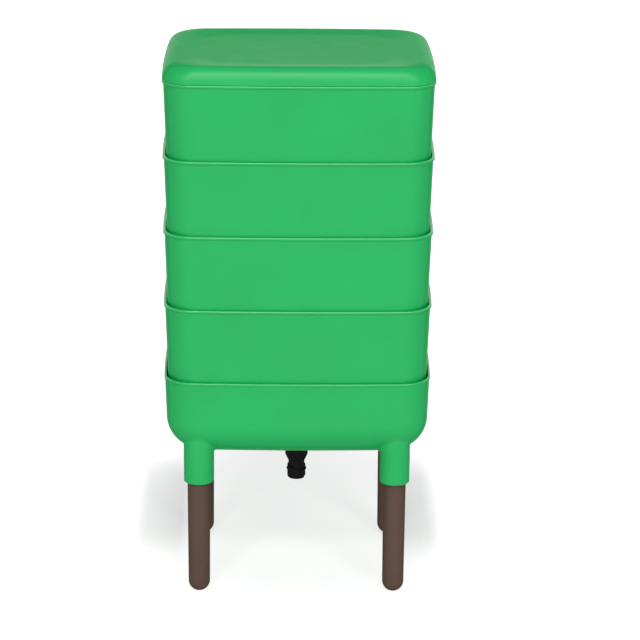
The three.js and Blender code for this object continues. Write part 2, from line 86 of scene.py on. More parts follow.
def centre_of(node):
    """Middle of a node's box along X, Y and Z."""
    return [(start + end) / 2 for start, end in zip(*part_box(node))]


# Sizes and colours that can be set

def length(name, description, default):
    return FloatProperty(name=name, description=description, default=default, min=0,
                         precision=5, subtype="DISTANCE", unit="LENGTH")


def angle(name, description, degrees):
    return FloatProperty(name=name, description=description, default=radians(degrees),
                         subtype="ANGLE", unit="ROTATION")


def share(name, description, default):
    return FloatProperty(name=name, description=description, default=default, subtype="FACTOR")


def number(name, description, default):
    return IntProperty(name=name, description=description, default=default, min=1)


def colour(name, description, red, green, blue):
    """A colour given as it looks on the screen, from 0 to 255."""
    level = np.array([red, green, blue]) / 255
    linear = np.where(level <= 0.04045, level / 12.92, ((level + 0.055) / 1.055) ** 2.4)
    return FloatVectorProperty(name=name, description=description, default=tuple(linear),
                               size=3, min=0, max=1, subtype="COLOR")


class PlanSizes(bpy.types.PropertyGroup):
    length: length("Length", "Rim from end to end", 2 * reach("tray_1"))
    depth: length("Depth", "Rim from front to back",
                  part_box("tray_1")[1].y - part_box("tray_1")[0].y)
    corner: length("Corner radius", "Corners at the rim", 0.042)
    corner_spread: share("Corner spread", "How much the corners open out with the depth", 0.05)
    long_bow: length("Long side bow", "How far the front and back bulge", 0.005)
    short_bow: length("Short side bow", "How far the ends bulge", 0.004)
    wall: length("Wall", "Thickness of the walls", 0.0024)
    draft: angle("Draft", "Lean of the walls", 1.8)
    rim_lip: length("Rim lip", "How far the rim stands proud of the wall", 0.002)
    rim_height: length("Rim height", "Height of the rim band", 0.004)
    rim_round: length("Rim rounding", "Rounding of the rim's outer edge", 0.002)
    small_round: length("Small rounding", "Rounding of the other edges", 0.0006)
    gap: length("Gap", "Clearance between pieces that rest on each other", GAP)


class TraySizes(bpy.types.PropertyGroup):
    height: length("Height", "Height of a tray", high("tray_1") - low("tray_1"))
    nest: length("Nesting", "How far a tray stands in the one below",
                 high("tray_2") - low("tray_1"))
    floor: length("Floor", "Thickness of the floor", 0.003)
    foot_round: length("Foot rounding", "Rounding of the lower outer edge", 0.0035)
    inner_round: length("Inner rounding", "Rounding between the wall and the floor", 0.005)
    pitch: length("Hole pitch", "Distance between the holes", 0.014)
    hole: length("Hole", "Diameter of a hole", 0.006)
    columns: number("Columns", "Holes along the tray", 23)
    rib_width: length("Rib width", "Thickness of a rib that carries the next tray", 0.003)
    rib_reach: length("Rib reach", "How far a rib stands in from the rim's edge", 0.0129)
    rib_pitch: length("Rib pitch", "Distance between the ribs of a long side", 0.11)


class BowlSizes(bpy.types.PropertyGroup):
    height: length("Height", "From the underside to the rim",
                   high("collecting_bowl") - high("leg_front_left") - GAP)
    lip: length("Rim lip", "How far the rim stands proud of the wall", 0.001)
    rounding: length("Rounding", "Radius of the lower edge", 0.056)
    corner_share: share("Corner share", "How fast the corners tighten under the bowl", 0.6)
    fall: length("Fall", "Fall of the underside towards the sump", 0.004)
    funnel: length("Funnel radius", "Where the fall meets the sump", 0.04)
    sump: length("Sump radius", "Inner radius of the sump", 0.03)
    sump_depth: length("Sump depth", "Depth of the sump", 0.014)
    sump_round: length("Sump rounding", "Rounding of the sump's edges", 0.003)
    drain: length("Drain radius", "Hole for the tap", 0.0121)
    socket: length("Socket radius", "Outer radius of a leg socket", 0.0212)
    socket_flare: angle("Socket flare", "Lean of the sockets", 0.5)
    socket_fillet: length("Socket fillet", "Fillet between a socket and the underside", 0.0045)
    front_fillet: length("Front fillet", "The same towards the front and back walls", 0.012)
    fin_width: length("Fin width", "Thickness of the fins that grip a leg", 0.002)
    fin_start: length("Fin start", "From a socket's mouth up to its fins", 0.003)
    fins: number("Fins", "Fins in a socket", 4)


class LegSizes(bpy.types.PropertyGroup):
    foot: length("Foot radius", "Radius of the domed foot", 0.0155)
    top: length("Top radius", "Radius at the top", reach("leg_front_left"))
    wall: length("Wall", "Thickness of the tube", 0.0024)
    edge: length("Edge", "Rounding of the tube's top edges", 0.0005)


class LidSizes(bpy.types.PropertyGroup):
    height: length("Height", "From the rim to the top", high("lid") - high("tray_1"))
    inset: length("Inset", "How far the lid stands in from the rim's edge", 0.0005)
    corner_spread: length("Corner spread", "How much rounder the corners are at the top", 0.01)
    roll_height: length("Roll height", "Height of the soft edge", 0.022)
    roll_depth: length("Roll depth", "How far the soft edge reaches in", 0.015)
    roll_aside: length("Roll aside", "How much further it reaches in at the two ends", 0.007)
    dish: length("Dish", "Depth of the dished top", 0.0025)
    dish_width: length("Dish width", "Width of the slope into the dish", 0.034)
    dish_corner: length("Dish corner", "Corner radius of the dish", 0.06)
    tongue_depth: length("Tongue depth", "How far the tongue drops into the tray", 0.009)
    tongue_gap: length("Tongue gap", "From the tray's wall to the tongue", 0.0016)
    tongue_wall: length("Tongue wall", "Thickness of the tongue", 0.0022)


class SieveSizes(bpy.types.PropertyGroup):
    plate: length("Plate", "Thickness of the plate", 0.0025)
    rim: length("Rim", "Thickness of the upturned rim", 0.0024)
    margin: length("Margin", "Plain strip inside the rim", 0.004)
    corner_share: share("Corner share", "How fast the corners tighten with the inset", 0.3)
    pitch_x: length("Pitch along", "Distance between slots along the plate", 0.022)
    pitch_y: length("Pitch across", "Distance between slots across the plate", 0.009)
    slot_length: length("Slot length", "Length of a slot", 0.015)
    slot_width: length("Slot width", "Width of a slot", 0.0035)
    columns: number("Columns", "Slots along the plate", 14)


class TapSizes(bpy.types.PropertyGroup):
    tube: length("Tube radius", "Outer radius of the tube", 0.0118)
    bore: length("Bore radius", "Inner radius of the tube", 0.009)
    flange: length("Flange", "Thickness of the flange in the sump", 0.003)
    groove: length("Groove depth", "Depth of the clip's groove", 0.0012)
    clip_opening: angle("Clip opening", "Gap in the split clip", 50)
    grip: length("Nut grip radius", "Radius of the nut's grip", 0.022)
    neck: length("Nut neck radius", "Radius of the nut's neck", 0.0166)
    neck_height: length("Nut neck height", "Height of the nut's neck", 0.012)
    cone_height: length("Nut cone height", "Height of the nut's cone", 0.008)
    notches: number("Notches", "Finger notches round the nut", 8)
    notch: length("Notch depth", "Depth of a finger notch", 0.0022)
    sleeve: length("Sleeve radius", "Outer radius of the turning sleeve", 0.0134)
    sleeve_fall: length("Sleeve fall", "How far its top edge falls across the front", 0.0062)
    fall_angle: angle("Fall angle", "How far round the top edge falls", 120)
    lug_width: length("Lug width", "Thickness of the sleeve's lugs", 0.003)
    lug_height: length("Lug height", "Height of the lugs", 0.0037)
    lug_rise: length("Lug rise", "Top of the lugs above the low end of the top edge", 0.0017)
    slot: length("Slot width", "Width of the pin's slot", 0.0038)
    lift: length("Lift", "How far the plunger rises", 0.0045)
    stem: length("Stem radius", "Radius of the plunger's stem", 0.0042)
    head: length("Head thickness", "Thickness of the plunger's head", 0.003)
    spigot: length("Spigot", "How far the plunger's spigot drops into the tube", 0.0016)
    guides: number("Guides", "Guides on the plunger's stem", 4)
    guide_width: length("Guide width", "Thickness of a guide", 0.002)
    guide_height: length("Guide height", "Height of a guide", 0.012)
    guide_drop: length("Guide drop", "From the flange down to the guides", 0.018)
    pin: length("Pin radius", "Radius of the cross pin", 0.0015)
    edge: length("Edge", "Bevel of the tap's edges", 0.0003)


class Colours(bpy.types.PropertyGroup):
    green: colour("Green", "Trays, lid and bowl", 16, 180, 93)
    brown: colour("Brown", "Legs", 88, 68, 57)
    black: colour("Black", "Tap", 15, 15, 17)
    rubber: colour("Rubber", "Seals", 24, 24, 24)
    steel: colour("Steel", "Cross pin", 200, 202, 204)
    floor: colour("Floor", "Floor and background", 255, 255, 255)


class StageSizes(bpy.types.PropertyGroup):
    floor: length("Floor", "Length of the floor's sides", 30.0)
    bounce: share("Bounce", "Share of the light that the floor gives back", 0.9)
    shading: share("Shading", "Share of light and shadow that is seen on the floor", 0.5)
    shade: share("Shade", "Glow of the floor under the object", 0.68)
    # Painted shade: how much glow the two painted shadows beside the legs take out of the floor
    painted_shadows: share("Patches", "Glow that the patches beside the legs lack", 0.21)
    room: share("Room light", "Strength of the light from all around", 0.31)
    camera_x: FloatProperty(name="Camera X", description="Camera, sideways", default=-0.02078,
                            precision=5, subtype="DISTANCE", unit="LENGTH")
    camera_y: FloatProperty(name="Camera Y", description="Camera, towards the back",
                            default=-3.73437, precision=5, subtype="DISTANCE", unit="LENGTH")
    camera_z: length("Camera height", "Camera above the floor", 1.56679)
    lens: FloatProperty(name="Lens", description="Focal length", default=151.781,
                        subtype="DISTANCE_CAMERA")
    yaw: angle("Yaw", "Turn of the camera to the right", 0.8253)
    pitch: angle("Pitch", "Tilt of the camera down", 17.683)
    roll: angle("Roll", "Roll of the camera", 0.5127)


GROUPS = {
    "wormery_plan": PlanSizes,
    "wormery_tray": TraySizes,
    "wormery_bowl": BowlSizes,
    "wormery_leg": LegSizes,
    "wormery_lid": LidSizes,
    "wormery_sieve": SieveSizes,
    "wormery_tap": TapSizes,
    "wormery_colours": Colours,
    "wormery_stage": StageSizes,
}


# Profiles, rings and grids

def rounded(corners, steps=4, hold=HOLD, closed=False):
    """A profile through corners of (across, up, radius).

    A corner with a radius becomes an arc that is tangent to both its lines. On each line, a point
    is held a little way beyond the arc, so that smooth shading keeps the line straight.
    """
    rows = np.array(corners, float)
    points, radii = rows[:, :2], rows[:, 2]
    made = []
    for here in range(len(points)):
        inner = closed or 0 < here < len(points) - 1
        if radii[here] == 0 or not inner:
            made.append(points[here:here + 1])
            continue
        spot = points[here]
        back = points[here - 1] - spot
        ahead = points[(here + 1) % len(points)] - spot
        shorter = min(np.linalg.norm(back), np.linalg.norm(ahead))
        back /= np.linalg.norm(back)
        ahead /= np.linalg.norm(ahead)
        half = np.arccos(np.clip(back @ ahead, -1, 1)) / 2
        cut = min(radii[here] / tan(half), shorter * MOST_CUT)
        radius = cut * tan(half)
        centre = spot + (back + ahead) / np.linalg.norm(back + ahead) * radius / sin(half)
        start, end = spot + back * cut - centre, spot + ahead * cut - centre
        first = np.arctan2(start[1], start[0])
        sweep = (np.arctan2(end[1], end[0]) - first + pi) % TURN - pi
        bearing = first + sweep * np.linspace(0, 1, steps + 1)
        arc = centre + radius * np.stack([np.cos(bearing), np.sin(bearing)], 1)
        if shorter > 4 * hold + 2 * cut:
            arc = np.concatenate([[arc[0] + back * hold], arc, [arc[-1] + ahead * hold]])
        made.append(arc)
    return np.concatenate(made)


def plan_rings(plan, inset, radius, up, aside=0):
    """Rings of the plan, one for each inset, corner radius and height, as rings x points x 3.
    Aside is how much further a ring is taken in at its two ends.

    Each side is an arc that rises by its bow over its half chord a, of radius
    (a squared + bow squared) / (2 bow). Each corner is an arc tangent to both its neighbours: its
    centre lies at (side radius - corner radius) from the centre of either side's arc.
    The points run anticlockwise from above, from the +X side.
    """
    inset, radius, up, aside = (np.array(v, float)[:, None] for v in np.broadcast_arrays(
        *map(np.atleast_1d, (inset, radius, up, aside))))
    a, b = plan.length / 2 - inset - aside, plan.depth / 2 - inset
    long_arc = (a ** 2 + plan.long_bow ** 2) / (2 * plan.long_bow)
    short_arc = (b ** 2 + plan.short_bow ** 2) / (2 * plan.short_bow)
    long_y, short_x = b - long_arc, a - short_arc
    span = np.hypot(short_x, long_y)
    unit_x, unit_y = short_x / span, -long_y / span
    along = (span ** 2 + (long_arc - radius) ** 2 - (short_arc - radius) ** 2) / (2 * span)
    off = np.sqrt((long_arc - radius) ** 2 - along ** 2)
    x, y = unit_x * along + unit_y * off, long_y + unit_y * along - unit_x * off
    from_short = np.arctan2(y, x - short_x)
    to_long = np.arctan2(y - long_y, x)

    def arc(centre_x, centre_y, arc_radius, start, end, steps):
        bearing = start + (end - start) * np.arange(steps) / steps
        return np.stack([centre_x + arc_radius * np.cos(bearing),
                         centre_y + arc_radius * np.sin(bearing)])

    side, corner, front = QUARTER
    quarter = np.concatenate([arc(short_x, 0, short_arc, 0, from_short, side),
                              arc(x, y, radius, from_short, to_long, corner),
                              arc(0, long_y, long_arc, to_long, pi / 2, front)], axis=2)
    top = np.stack([np.zeros_like(b), b])
    back = np.concatenate([top, quarter[:, :, :0:-1]], axis=2)
    flip = np.array([[1, 1], [-1, 1], [-1, -1], [1, -1]])[:, :, None, None]
    flat = np.concatenate([quarter, back * flip[1], quarter * flip[2], back * flip[3]], axis=2)
    return np.concatenate([flat, np.broadcast_to(up, flat.shape[1:])[None]]).transpose(1, 2, 0)


def round_rings(radius, up, bearings):
    """Round rings about the Z axis, one for each radius and height, at the given bearings."""
    radius, up = (np.array(v, float)[:, None] for v in
                  np.broadcast_arrays(*map(np.atleast_1d, (radius, up))))
    return np.stack([radius * np.cos(bearings), radius * np.sin(bearings),
                     np.broadcast_to(up, (len(radius), len(bearings)))], axis=2)


def skin(rings, endless=False, capped=True):
    """A shell through rings of as many points each.

    It faces outwards where the rings climb. It is endless, or closed by a fan about the middle of
    its first ring and one about the middle of its last, or left open.
    """
    count, around = rings.shape[:2]
    row = np.arange(count if endless else count - 1)[:, None]
    column = np.arange(around)[None]
    here, there = row * around, (row + 1) % count * around
    beside = (column + 1) % around
    quads = np.stack([here + column, here + beside, there + beside, there + column], axis=2)
    points, faces = rings.reshape(-1, 3), [quads.reshape(-1, 4)]
    if capped and not endless:
        edge = np.arange(around)
        ahead = (edge + 1) % around
        for ring, order in ((0, (ahead, edge)), (count - 1, (edge, ahead))):
            middle = np.full(around, len(points))
            points = np.concatenate([points, rings[ring].mean(axis=0)[None]])
            start, end = (ring * around + part for part in order)
            faces.append(np.stack([start, end, middle], axis=1))
    return points, faces


def turned(profile, steps=48, endless=True, centre=(0, 0)):
    """A profile of (radius, height) turned about an upright axis. It runs up the outside."""
    bearings = np.arange(steps) * TURN / steps
    points, faces = skin(round_rings(profile[:, 0], profile[:, 1], bearings), endless)
    return points + np.array([*centre, 0]), faces


def tube_cells(inner, outer, bearings, levels, keep):
    """A tube about the Z axis made of cells, of which some are left open.

    Column i runs from bearing i to the next, and row j from levels[j] to levels[j + 1], with a
    height of their own at each bearing. A kept cell has an outer and an inner face, and a wall
    wherever its neighbour is open. Inner and outer may be radii for each level and bearing.
    """
    rows, columns = keep.shape
    inner, outer = (np.broadcast_to(radius, levels.shape) for radius in (inner, outer))
    grids = [np.stack([radius * np.cos(bearings), radius * np.sin(bearings), levels], axis=2)
             for radius in (outer, inner)]
    number = np.arange((rows + 1) * columns).reshape(rows + 1, columns)
    beside = np.roll(number, -1, axis=1)
    a, b, c, d = number[:-1], beside[:-1], beside[1:], number[1:]
    inside = number.size
    padded = np.pad(keep, ((1, 1), (0, 0)))
    below, above = padded[:-2], padded[2:]
    before, after = np.roll(keep, 1, axis=1), np.roll(keep, -1, axis=1)
    walls = [
        (keep, (a, b, c, d)),
        (keep, (d + inside, c + inside, b + inside, a + inside)),
        (keep & ~below, (b, a, a + inside, b + inside)),
        (keep & ~above, (d, c, c + inside, d + inside)),
        (keep & ~before, (a, d, d + inside, a + inside)),
        (keep & ~after, (b, b + inside, c + inside, c)),
    ]
    faces = np.concatenate([np.stack(corners, axis=2)[chosen] for chosen, corners in walls])
    points = np.concatenate([grid.reshape(-1, 3) for grid in grids])
    used, numbers = np.unique(faces, return_inverse=True)
    return points[used], [numbers.reshape(-1, 4)]


def pierced_floor(columns, rows, pitch_x, pitch_y, hole_x, hole_y, heights):
    """The two faces and the hole walls of a floor with a hole in each of its tiles.

    A tile has 8 points round its edge, on a lattice of half the pitch, and 16 round its hole. A
    hole is two half circles of radius hole_y, set apart to make it hole_x long each way. It gives
    the points, the faces, and the numbers of the lower and upper points along the floor's edge,
    anticlockwise from the middle of the +X side.
    """
    across, along = 2 * columns + 1, 2 * rows + 1
    i, j = np.meshgrid(np.arange(across), np.arange(along), indexing="ij")
    lattice = np.stack([(i - columns) * pitch_x / 2, (j - rows) * pitch_y / 2], axis=2)
    tile_i, tile_j = (2 * v.reshape(-1, 1) + 1 for v in
                      np.meshgrid(np.arange(columns), np.arange(rows), indexing="ij"))
    ring_i = np.array([1, 1, 0, -1, -1, -1, 0, 1])
    ring_j = np.array([0, 1, 1, 1, 0, -1, -1, -1])
    edge = (tile_i + ring_i) * along + tile_j + ring_j
    turn = np.arange(HOLE_POINTS) * TURN / HOLE_POINTS
    straight = np.sign(np.round(np.cos(turn), 6)) * (hole_x - hole_y)
    middle = lattice[tile_i[:, 0], tile_j[:, 0]][:, None]
    holes = middle + np.stack([straight + hole_y * np.cos(turn), hole_y * np.sin(turn)], axis=1)
    flat = np.concatenate([lattice.reshape(-1, 2), holes.reshape(-1, 2)])
    rim = np.arange(columns * rows * HOLE_POINTS).reshape(-1, HOLE_POINTS) + across * along
    next_edge = np.roll(edge, -1, axis=1)
    first, second, third = rim[:, ::2], rim[:, 1::2], np.roll(rim, -2, axis=1)[:, ::2]
    quads = np.stack([edge, next_edge, third, second], axis=2).reshape(-1, 4)
    corners = np.stack([edge, second, first], axis=2).reshape(-1, 3)
    next_rim = np.roll(rim, -1, axis=1)
    layer = len(flat)
    walls = np.stack([rim, next_rim, next_rim + layer, rim + layer], axis=2).reshape(-1, 4)
    points = np.concatenate([np.column_stack([flat, np.full(layer, up)]) for up in heights])
    side = columns * 2 * along + np.arange(rows, 2 * rows)
    front = np.arange(2 * columns, columns, -1) * along + 2 * rows
    quarter = np.concatenate([side, front])
    at_i, at_j = quarter // along, quarter % along
    back_i, back_j = (np.concatenate([[v], w[:0:-1]]) for v, w in
                      ((columns, at_i), (2 * rows, at_j)))
    far_i, far_j = 2 * columns, 2 * rows
    loop = np.concatenate([at_i * along + at_j, (far_i - back_i) * along + back_j,
                           (far_i - at_i) * along + far_j - at_j,
                           back_i * along + far_j - back_j])
    faces = [quads[:, ::-1], corners[:, ::-1], walls[:, ::-1], quads + layer, corners + layer]
    return points, faces, loop, loop + layer


def pierced_shell(rings, floor):
    """A shell through rings, whose first and last ring are joined to a pierced floor."""
    points, faces, lower, upper = floor
    around = rings.shape[1]
    walls, wall_faces = skin(rings, capped=False)
    start, end = len(points), len(points) + (len(rings) - 1) * around
    number = np.arange(around)
    beside = (number + 1) % around
    under = np.stack([lower[number], lower[beside], start + beside, start + number], axis=1)
    over = np.stack([end + number, end + beside, upper[beside], upper[number]], axis=1)
    shell = [*faces, *(part + start for part in wall_faces), under, over]
    used, numbers = np.unique(np.concatenate([part.ravel() for part in shell]),
                              return_inverse=True)
    sizes = np.cumsum([part.size for part in shell])[:-1]
    renumbered = [part.reshape(-1, old.shape[1]) for part, old in
                  zip(np.split(numbers.ravel(), sizes), shell)]
    return np.concatenate([points, walls])[used], renumbered


def bar(width, inner, outer, heights, edge=0.0006, turn=0.0, centre=(0, 0)):
    """An upright rib along +X from inner to outer, one ring for each height.

    Inner and outer are distances for each height. Each ring is a rectangle with its corners taken
    off, and the top ring is drawn in by the edge. The rib is turned about the Z axis, then moved.
    """
    inner, outer, heights = np.broadcast_arrays(*map(np.atleast_1d, (inner, outer, heights)))
    inner, outer, heights = (np.append(v, v[-1]).astype(float) for v in (inner, outer, heights))
    heights[-2] -= edge
    half = np.full(len(heights), width / 2)
    half[-1] -= edge
    inner[-1] += edge
    outer[-1] -= edge
    x = np.stack([outer, outer, outer - edge, inner + edge, inner, inner, inner + edge,
                  outer - edge], axis=1)
    y = half[:, None] * np.array([-1, 1, 1, 1, 1, -1, -1, -1])
    y += edge * np.array([1, -1, 0, 0, -1, 1, 0, 0])
    z = np.broadcast_to(heights[:, None], x.shape)
    flat = np.stack([x * cos(turn) - y * sin(turn) + centre[0],
                     x * sin(turn) + y * cos(turn) + centre[1], z], axis=2)
    return skin(flat)


# Meshes, materials and nodes

def piece(name, shells, material, slot, body, *nodes):
    """A mesh object of closed shells that stands for the nodes named, rides on their body and has
    its edges kept crisp where faces meet at more than the crisp angle."""
    crisp = radians(35)
    points, faces, start = [], [], 0
    for shell_points, shell_faces in shells:
        points.append(shell_points)
        for part in shell_faces:
            faces.extend((part + start).tolist())
        start += len(shell_points)
    mesh = bpy.data.meshes.new(name)
    mesh.from_pydata(np.concatenate(points).tolist(), [], faces)
    if mesh.validate():
        raise RuntimeError(f"{name} has faces that don't hold")
    mesh.shade_smooth()
    mesh.set_sharp_from_angle(angle=crisp)
    mesh.materials.append(material)
    made = bpy.data.objects.new(name, mesh)
    bpy.context.scene.collection.objects.link(made)
    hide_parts(*nodes)
    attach(made, body)
    return made


def shader_node(tree, kind, inputs=None, **settings):
    """A node with its settings. Each input is given a value or the output of another node."""
    made = tree.nodes.new(kind)
    for name, value in settings.items():
        setattr(made, name, value)
    for socket, value in (inputs or {}).items():
        if isinstance(value, bpy.types.NodeSocket):
            tree.links.new(value, made.inputs[socket])
        else:
            made.inputs[socket].default_value = value
    return made


def node_tree(owner):
    """The empty node tree of a material or world."""
    owner.use_nodes = True
    owner.node_tree.nodes.clear()
    return owner.node_tree


def seen_rays(tree):
    """1 for a ray from the camera, a gloss or clear glass, and 0 for one that only gathers light
    for the object: the greatest of the three kinds' marks."""
    path = shader_node(tree, "ShaderNodeLightPath")
    seen = path.outputs["Is Camera Ray"]
    for kind in ("Is Glossy Ray", "Is Transmission Ray"):
        seen = shader_node(tree, "ShaderNodeMath", {0: seen, 1: path.outputs[kind]},
                           operation="MAXIMUM").outputs[0]
    return seen


def moulded(name, paint, rough, grain, relief, clouds=0.05, shine=0.25, rims=False):
    """Moulded plastic: a fine spark-eroded grain, soft clouds in the colour, and a roughness that
    wanders a little. Grain is the size of its grains, and relief their height. The grain breaks
    up reflections at a glancing angle, so the shine falls to a 24th there. It rises a little
    again where a face that looks up turns away, as on the lid's soft edge. With rims, faces that
    look up are smoother and fully shiny, as the mould leaves a rim."""
    found = bpy.data.materials.get(name)
    if found:
        return found
    material = bpy.data.materials.new(name)
    material.use_nodes = True
    tree = material.node_tree
    shader = tree.nodes["Principled BSDF"]
    place = shader_node(tree, "ShaderNodeTexCoord").outputs["Object"]
    away = shader_node(tree, "ShaderNodeLayerWeight", {"Blend": 0.5}).outputs["Facing"]
    normal = shader_node(tree, "ShaderNodeNewGeometry").outputs["Normal"]
    upwards = shader_node(tree, "ShaderNodeSeparateXYZ", {0: normal}).outputs["Z"]

    def noise(lumps, detail, roughness=0.5):
        """Noise with about so many lumps to the metre."""
        return shader_node(tree, "ShaderNodeTexNoise", {
            "Vector": place, "Scale": lumps, "Detail": detail, "Roughness": roughness,
        }).outputs["Fac"]

    def spread(value, least, most, start=0.3, end=0.7):
        """A value that goes from least to most while the one given goes from start to end."""
        return shader_node(tree, "ShaderNodeMapRange", {
            "Value": value, "From Min": start, "From Max": end, "To Min": least, "To Max": most,
        }).outputs["Result"]

    paint_mix = shader_node(tree, "ShaderNodeMix", {
        "Factor": spread(noise(7, 3), 0, 1),
        "A": (*(level * (1 - clouds) for level in paint), 1),
        "B": (*(min(level * (1 + clouds), 1) for level in paint), 1),
    }, data_type="RGBA")
    wander, rim_rough, rim_shine = 0.03, 0.3, 1.0
    # How far a face turns away where its shine falls and rises again, and how far one looks up
    falls, rises, soft_edge, rim = (0.1, 0.6), (0.76, 0.9), (0.1, 0.6), (0.15, 0.35)
    roughness = spread(noise(40, 4, 0.6), rough - wander, rough + wander)
    sheen = shader_node(tree, "ShaderNodeMath", {
        0: spread(away, 0, shine / 6, *rises),
        1: spread(upwards, 0, 1, *soft_edge),
        2: spread(away, shine, shine / 24, *falls),
    }, operation="MULTIPLY_ADD").outputs[0]
    if rims:
        looks_up = spread(upwards, 0, 1, *rim)
        roughness, sheen = (shader_node(tree, "ShaderNodeMix", {
            "Factor": looks_up, "A": plain, "B": smooth,
        }).outputs["Result"] for plain, smooth in ((roughness, rim_rough), (sheen, rim_shine)))
    bump = shader_node(tree, "ShaderNodeBump", {
        "Distance": relief, "Strength": 1, "Height": noise(1 / grain, 2)})
    for value, target in ((paint_mix.outputs["Result"], "Base Color"), (roughness, "Roughness"),
                          (sheen, "Specular IOR Level"), (bump.outputs["Normal"], "Normal")):
        tree.links.new(value, shader.inputs[target])
    return material


def brushed(name, paint, rough):
    """Drawn steel: a very fine grain, faint clouds and a wandering roughness, in metal."""
    material = moulded(name, paint, rough, 0.0008, 0.00001, clouds=0.03)
    material.node_tree.nodes["Principled BSDF"].inputs["Metallic"].default_value = 1
    return material


def green_plastic(colours, rims=False):
    """The green plastic, with or without the smooth rims that the mould leaves."""
    name = "green_plastic_with_rim" if rims else "green_satin_plastic"
    return moulded(name, colours.green, 0.4, 0.0011, 0.00002, shine=0.42, rims=rims)


def brown_plastic(colours):
    return moulded("brown_matt_plastic", colours.brown, 0.5, 0.0011, 0.00003, clouds=0.08)


def black_plastic(colours):
    return moulded("black_satin_plastic", colours.black, 0.4, 0.0009, 0.00002, clouds=0.1,
                   shine=0.08)


def rubber(colours):
    return moulded("black_rubber", colours.rubber, 0.75, 0.0007, 0.00003, clouds=0.15)


# Shapes of the green pieces

class Wall:
    """The lean of a wall that falls away below its rim."""

    def __init__(self, plan, lip, rim_top):
        self.plan, self.lip, self.rim_top = plan, lip, rim_top
        self.under_lip = rim_top - plan.rim_height
        self.slope = tan(plan.draft)

    def outer(self, up):
        return self.lip + (self.under_lip - up) * self.slope

    def inner(self, up):
        return self.outer(up) + self.plan.wall

    def rings(self, profile):
        """Plan rings of a profile of (inset, height): corner radius = rim corner - inset + depth
        under the lip x corner spread."""
        inset, up = profile.T
        depth = np.maximum(self.under_lip - up, 0)
        radius = self.plan.corner - inset + depth * self.plan.corner_spread
        return plan_rings(self.plan, inset, radius, up)

    def rim(self):
        """Corners of the rim, from under its lip to its inner edge."""
        plan, top = self.plan, self.rim_top
        return [(self.lip, self.under_lip, plan.small_round),
                (0, self.under_lip + plan.small_round / 3, plan.small_round),
                (0, top, plan.rim_round),
                (self.inner(top), top, plan.small_round)]

    def ribs(self, tray, low_end, high_end):
        """Upright ribs inside the wall: three on each long side and one at each end. A long side
        stands in by bow x (distance along it / half the length) squared."""
        plan = self.plan
        heights = np.array([low_end, high_end])
        shells = []
        for half, places, quarter in ((plan.depth / 2, (-1, 0, 1), 1),
                                      (plan.length / 2, (0,), 0)):
            bow = plan.long_bow if quarter else plan.short_bow
            for place in places:
                aside = place * tray.rib_pitch
                sag = bow * (aside / (plan.length / 2)) ** 2 if quarter else 0
                outer = half - sag - self.inner(heights) + plan.wall / 2
                for side in (0, 2):
                    shells.append(bar(tray.rib_width, half - tray.rib_reach, outer, heights,
                                      turn=(quarter + side) * pi / 2, centre=(aside, 0)))
        return shells


def bowl_station(plan, bowl, wall, thickness, bearing):
    """Inset, corner radius and height on the bowl's rounded lower edge.

    Inset = centre - r cos(bearing) and height = centre + r sin(bearing), where r is the rounding
    less the thickness. The corners tighten by a share of the way in.
    """
    centre = wall.rim_top - bowl.height + bowl.rounding
    begin = wall.outer(centre) + thickness
    reach_in = bowl.rounding - thickness
    inset = wall.outer(centre) + bowl.rounding - reach_in * np.cos(bearing)
    radius = (plan.corner - begin + (wall.under_lip - centre) * plan.corner_spread
              - (inset - begin) * bowl.corner_share)
    return inset, radius, centre + reach_in * np.sin(bearing)


def bowl_floor(plan, bowl, wall, thickness, steps=20):
    """Rings from the drain hole to the top of the rounded edge, of the outer face or of the face a
    thickness further in: sump, funnel that is drawn from a circle to the plan, and rounding."""
    bearing = np.linspace(-pi / 2, 0, steps + 1)
    edge = plan_rings(plan, *bowl_station(plan, bowl, wall, thickness, bearing))
    bearings = np.arctan2(edge[0, :, 1], edge[0, :, 0])
    side = bowl.sump + plan.wall - thickness
    under = edge[0, 0, 2] - bowl.fall
    bottom = under - bowl.sump_depth
    turn = bowl.sump_round
    sump = rounded([(bowl.drain, bottom, 0), (side, bottom, turn),
                    (side, under, turn), (bowl.funnel, under, 0)], hold=0.0008)
    circle = round_rings(bowl.funnel, under, bearings)[0]
    funnel_rings = 7
    part = np.linspace(0, 1, funnel_rings + 2)[1:-1, None, None]
    funnel = circle * (1 - part) + edge[0] * part
    return np.concatenate([round_rings(sump[:, 0], sump[:, 1], bearings), funnel, edge])


def polar_table(rings, bearings):
    """Each ring's distance from the Z axis at the given bearings, one row for each ring."""
    around = np.arctan2(rings[:, :, 1], rings[:, :, 0]) % TURN
    away = np.hypot(rings[:, :, 0], rings[:, :, 1])
    return np.stack([np.interp(bearings, ring, far, period=TURN)
                     for ring, far in zip(around, away)])


def height_over(rings, x, y):
    """Height of a surface of nested rings over points of the plan, by the ring's distance from the
    axis at the point's bearing, and a straight line between rings."""
    steps = 1440
    table = polar_table(rings, np.arange(steps) * TURN / steps)
    heights = rings[:, 0, 2]
    place = (np.arctan2(y, x) % TURN) / TURN * steps
    first = place.astype(int)
    part = place - first
    away = table[:, first % steps] * (1 - part) + table[:, (first + 1) % steps] * part
    point = np.hypot(x, y)
    row = np.clip((away < point).sum(axis=0) - 1, 0, len(rings) - 2)
    near = np.take_along_axis(away, row[None], axis=0)[0]
    far = np.take_along_axis(away, row[None] + 1, axis=0)[0]
    return heights[row] + (heights[row + 1] - heights[row]) * (point - near) / (far - near)


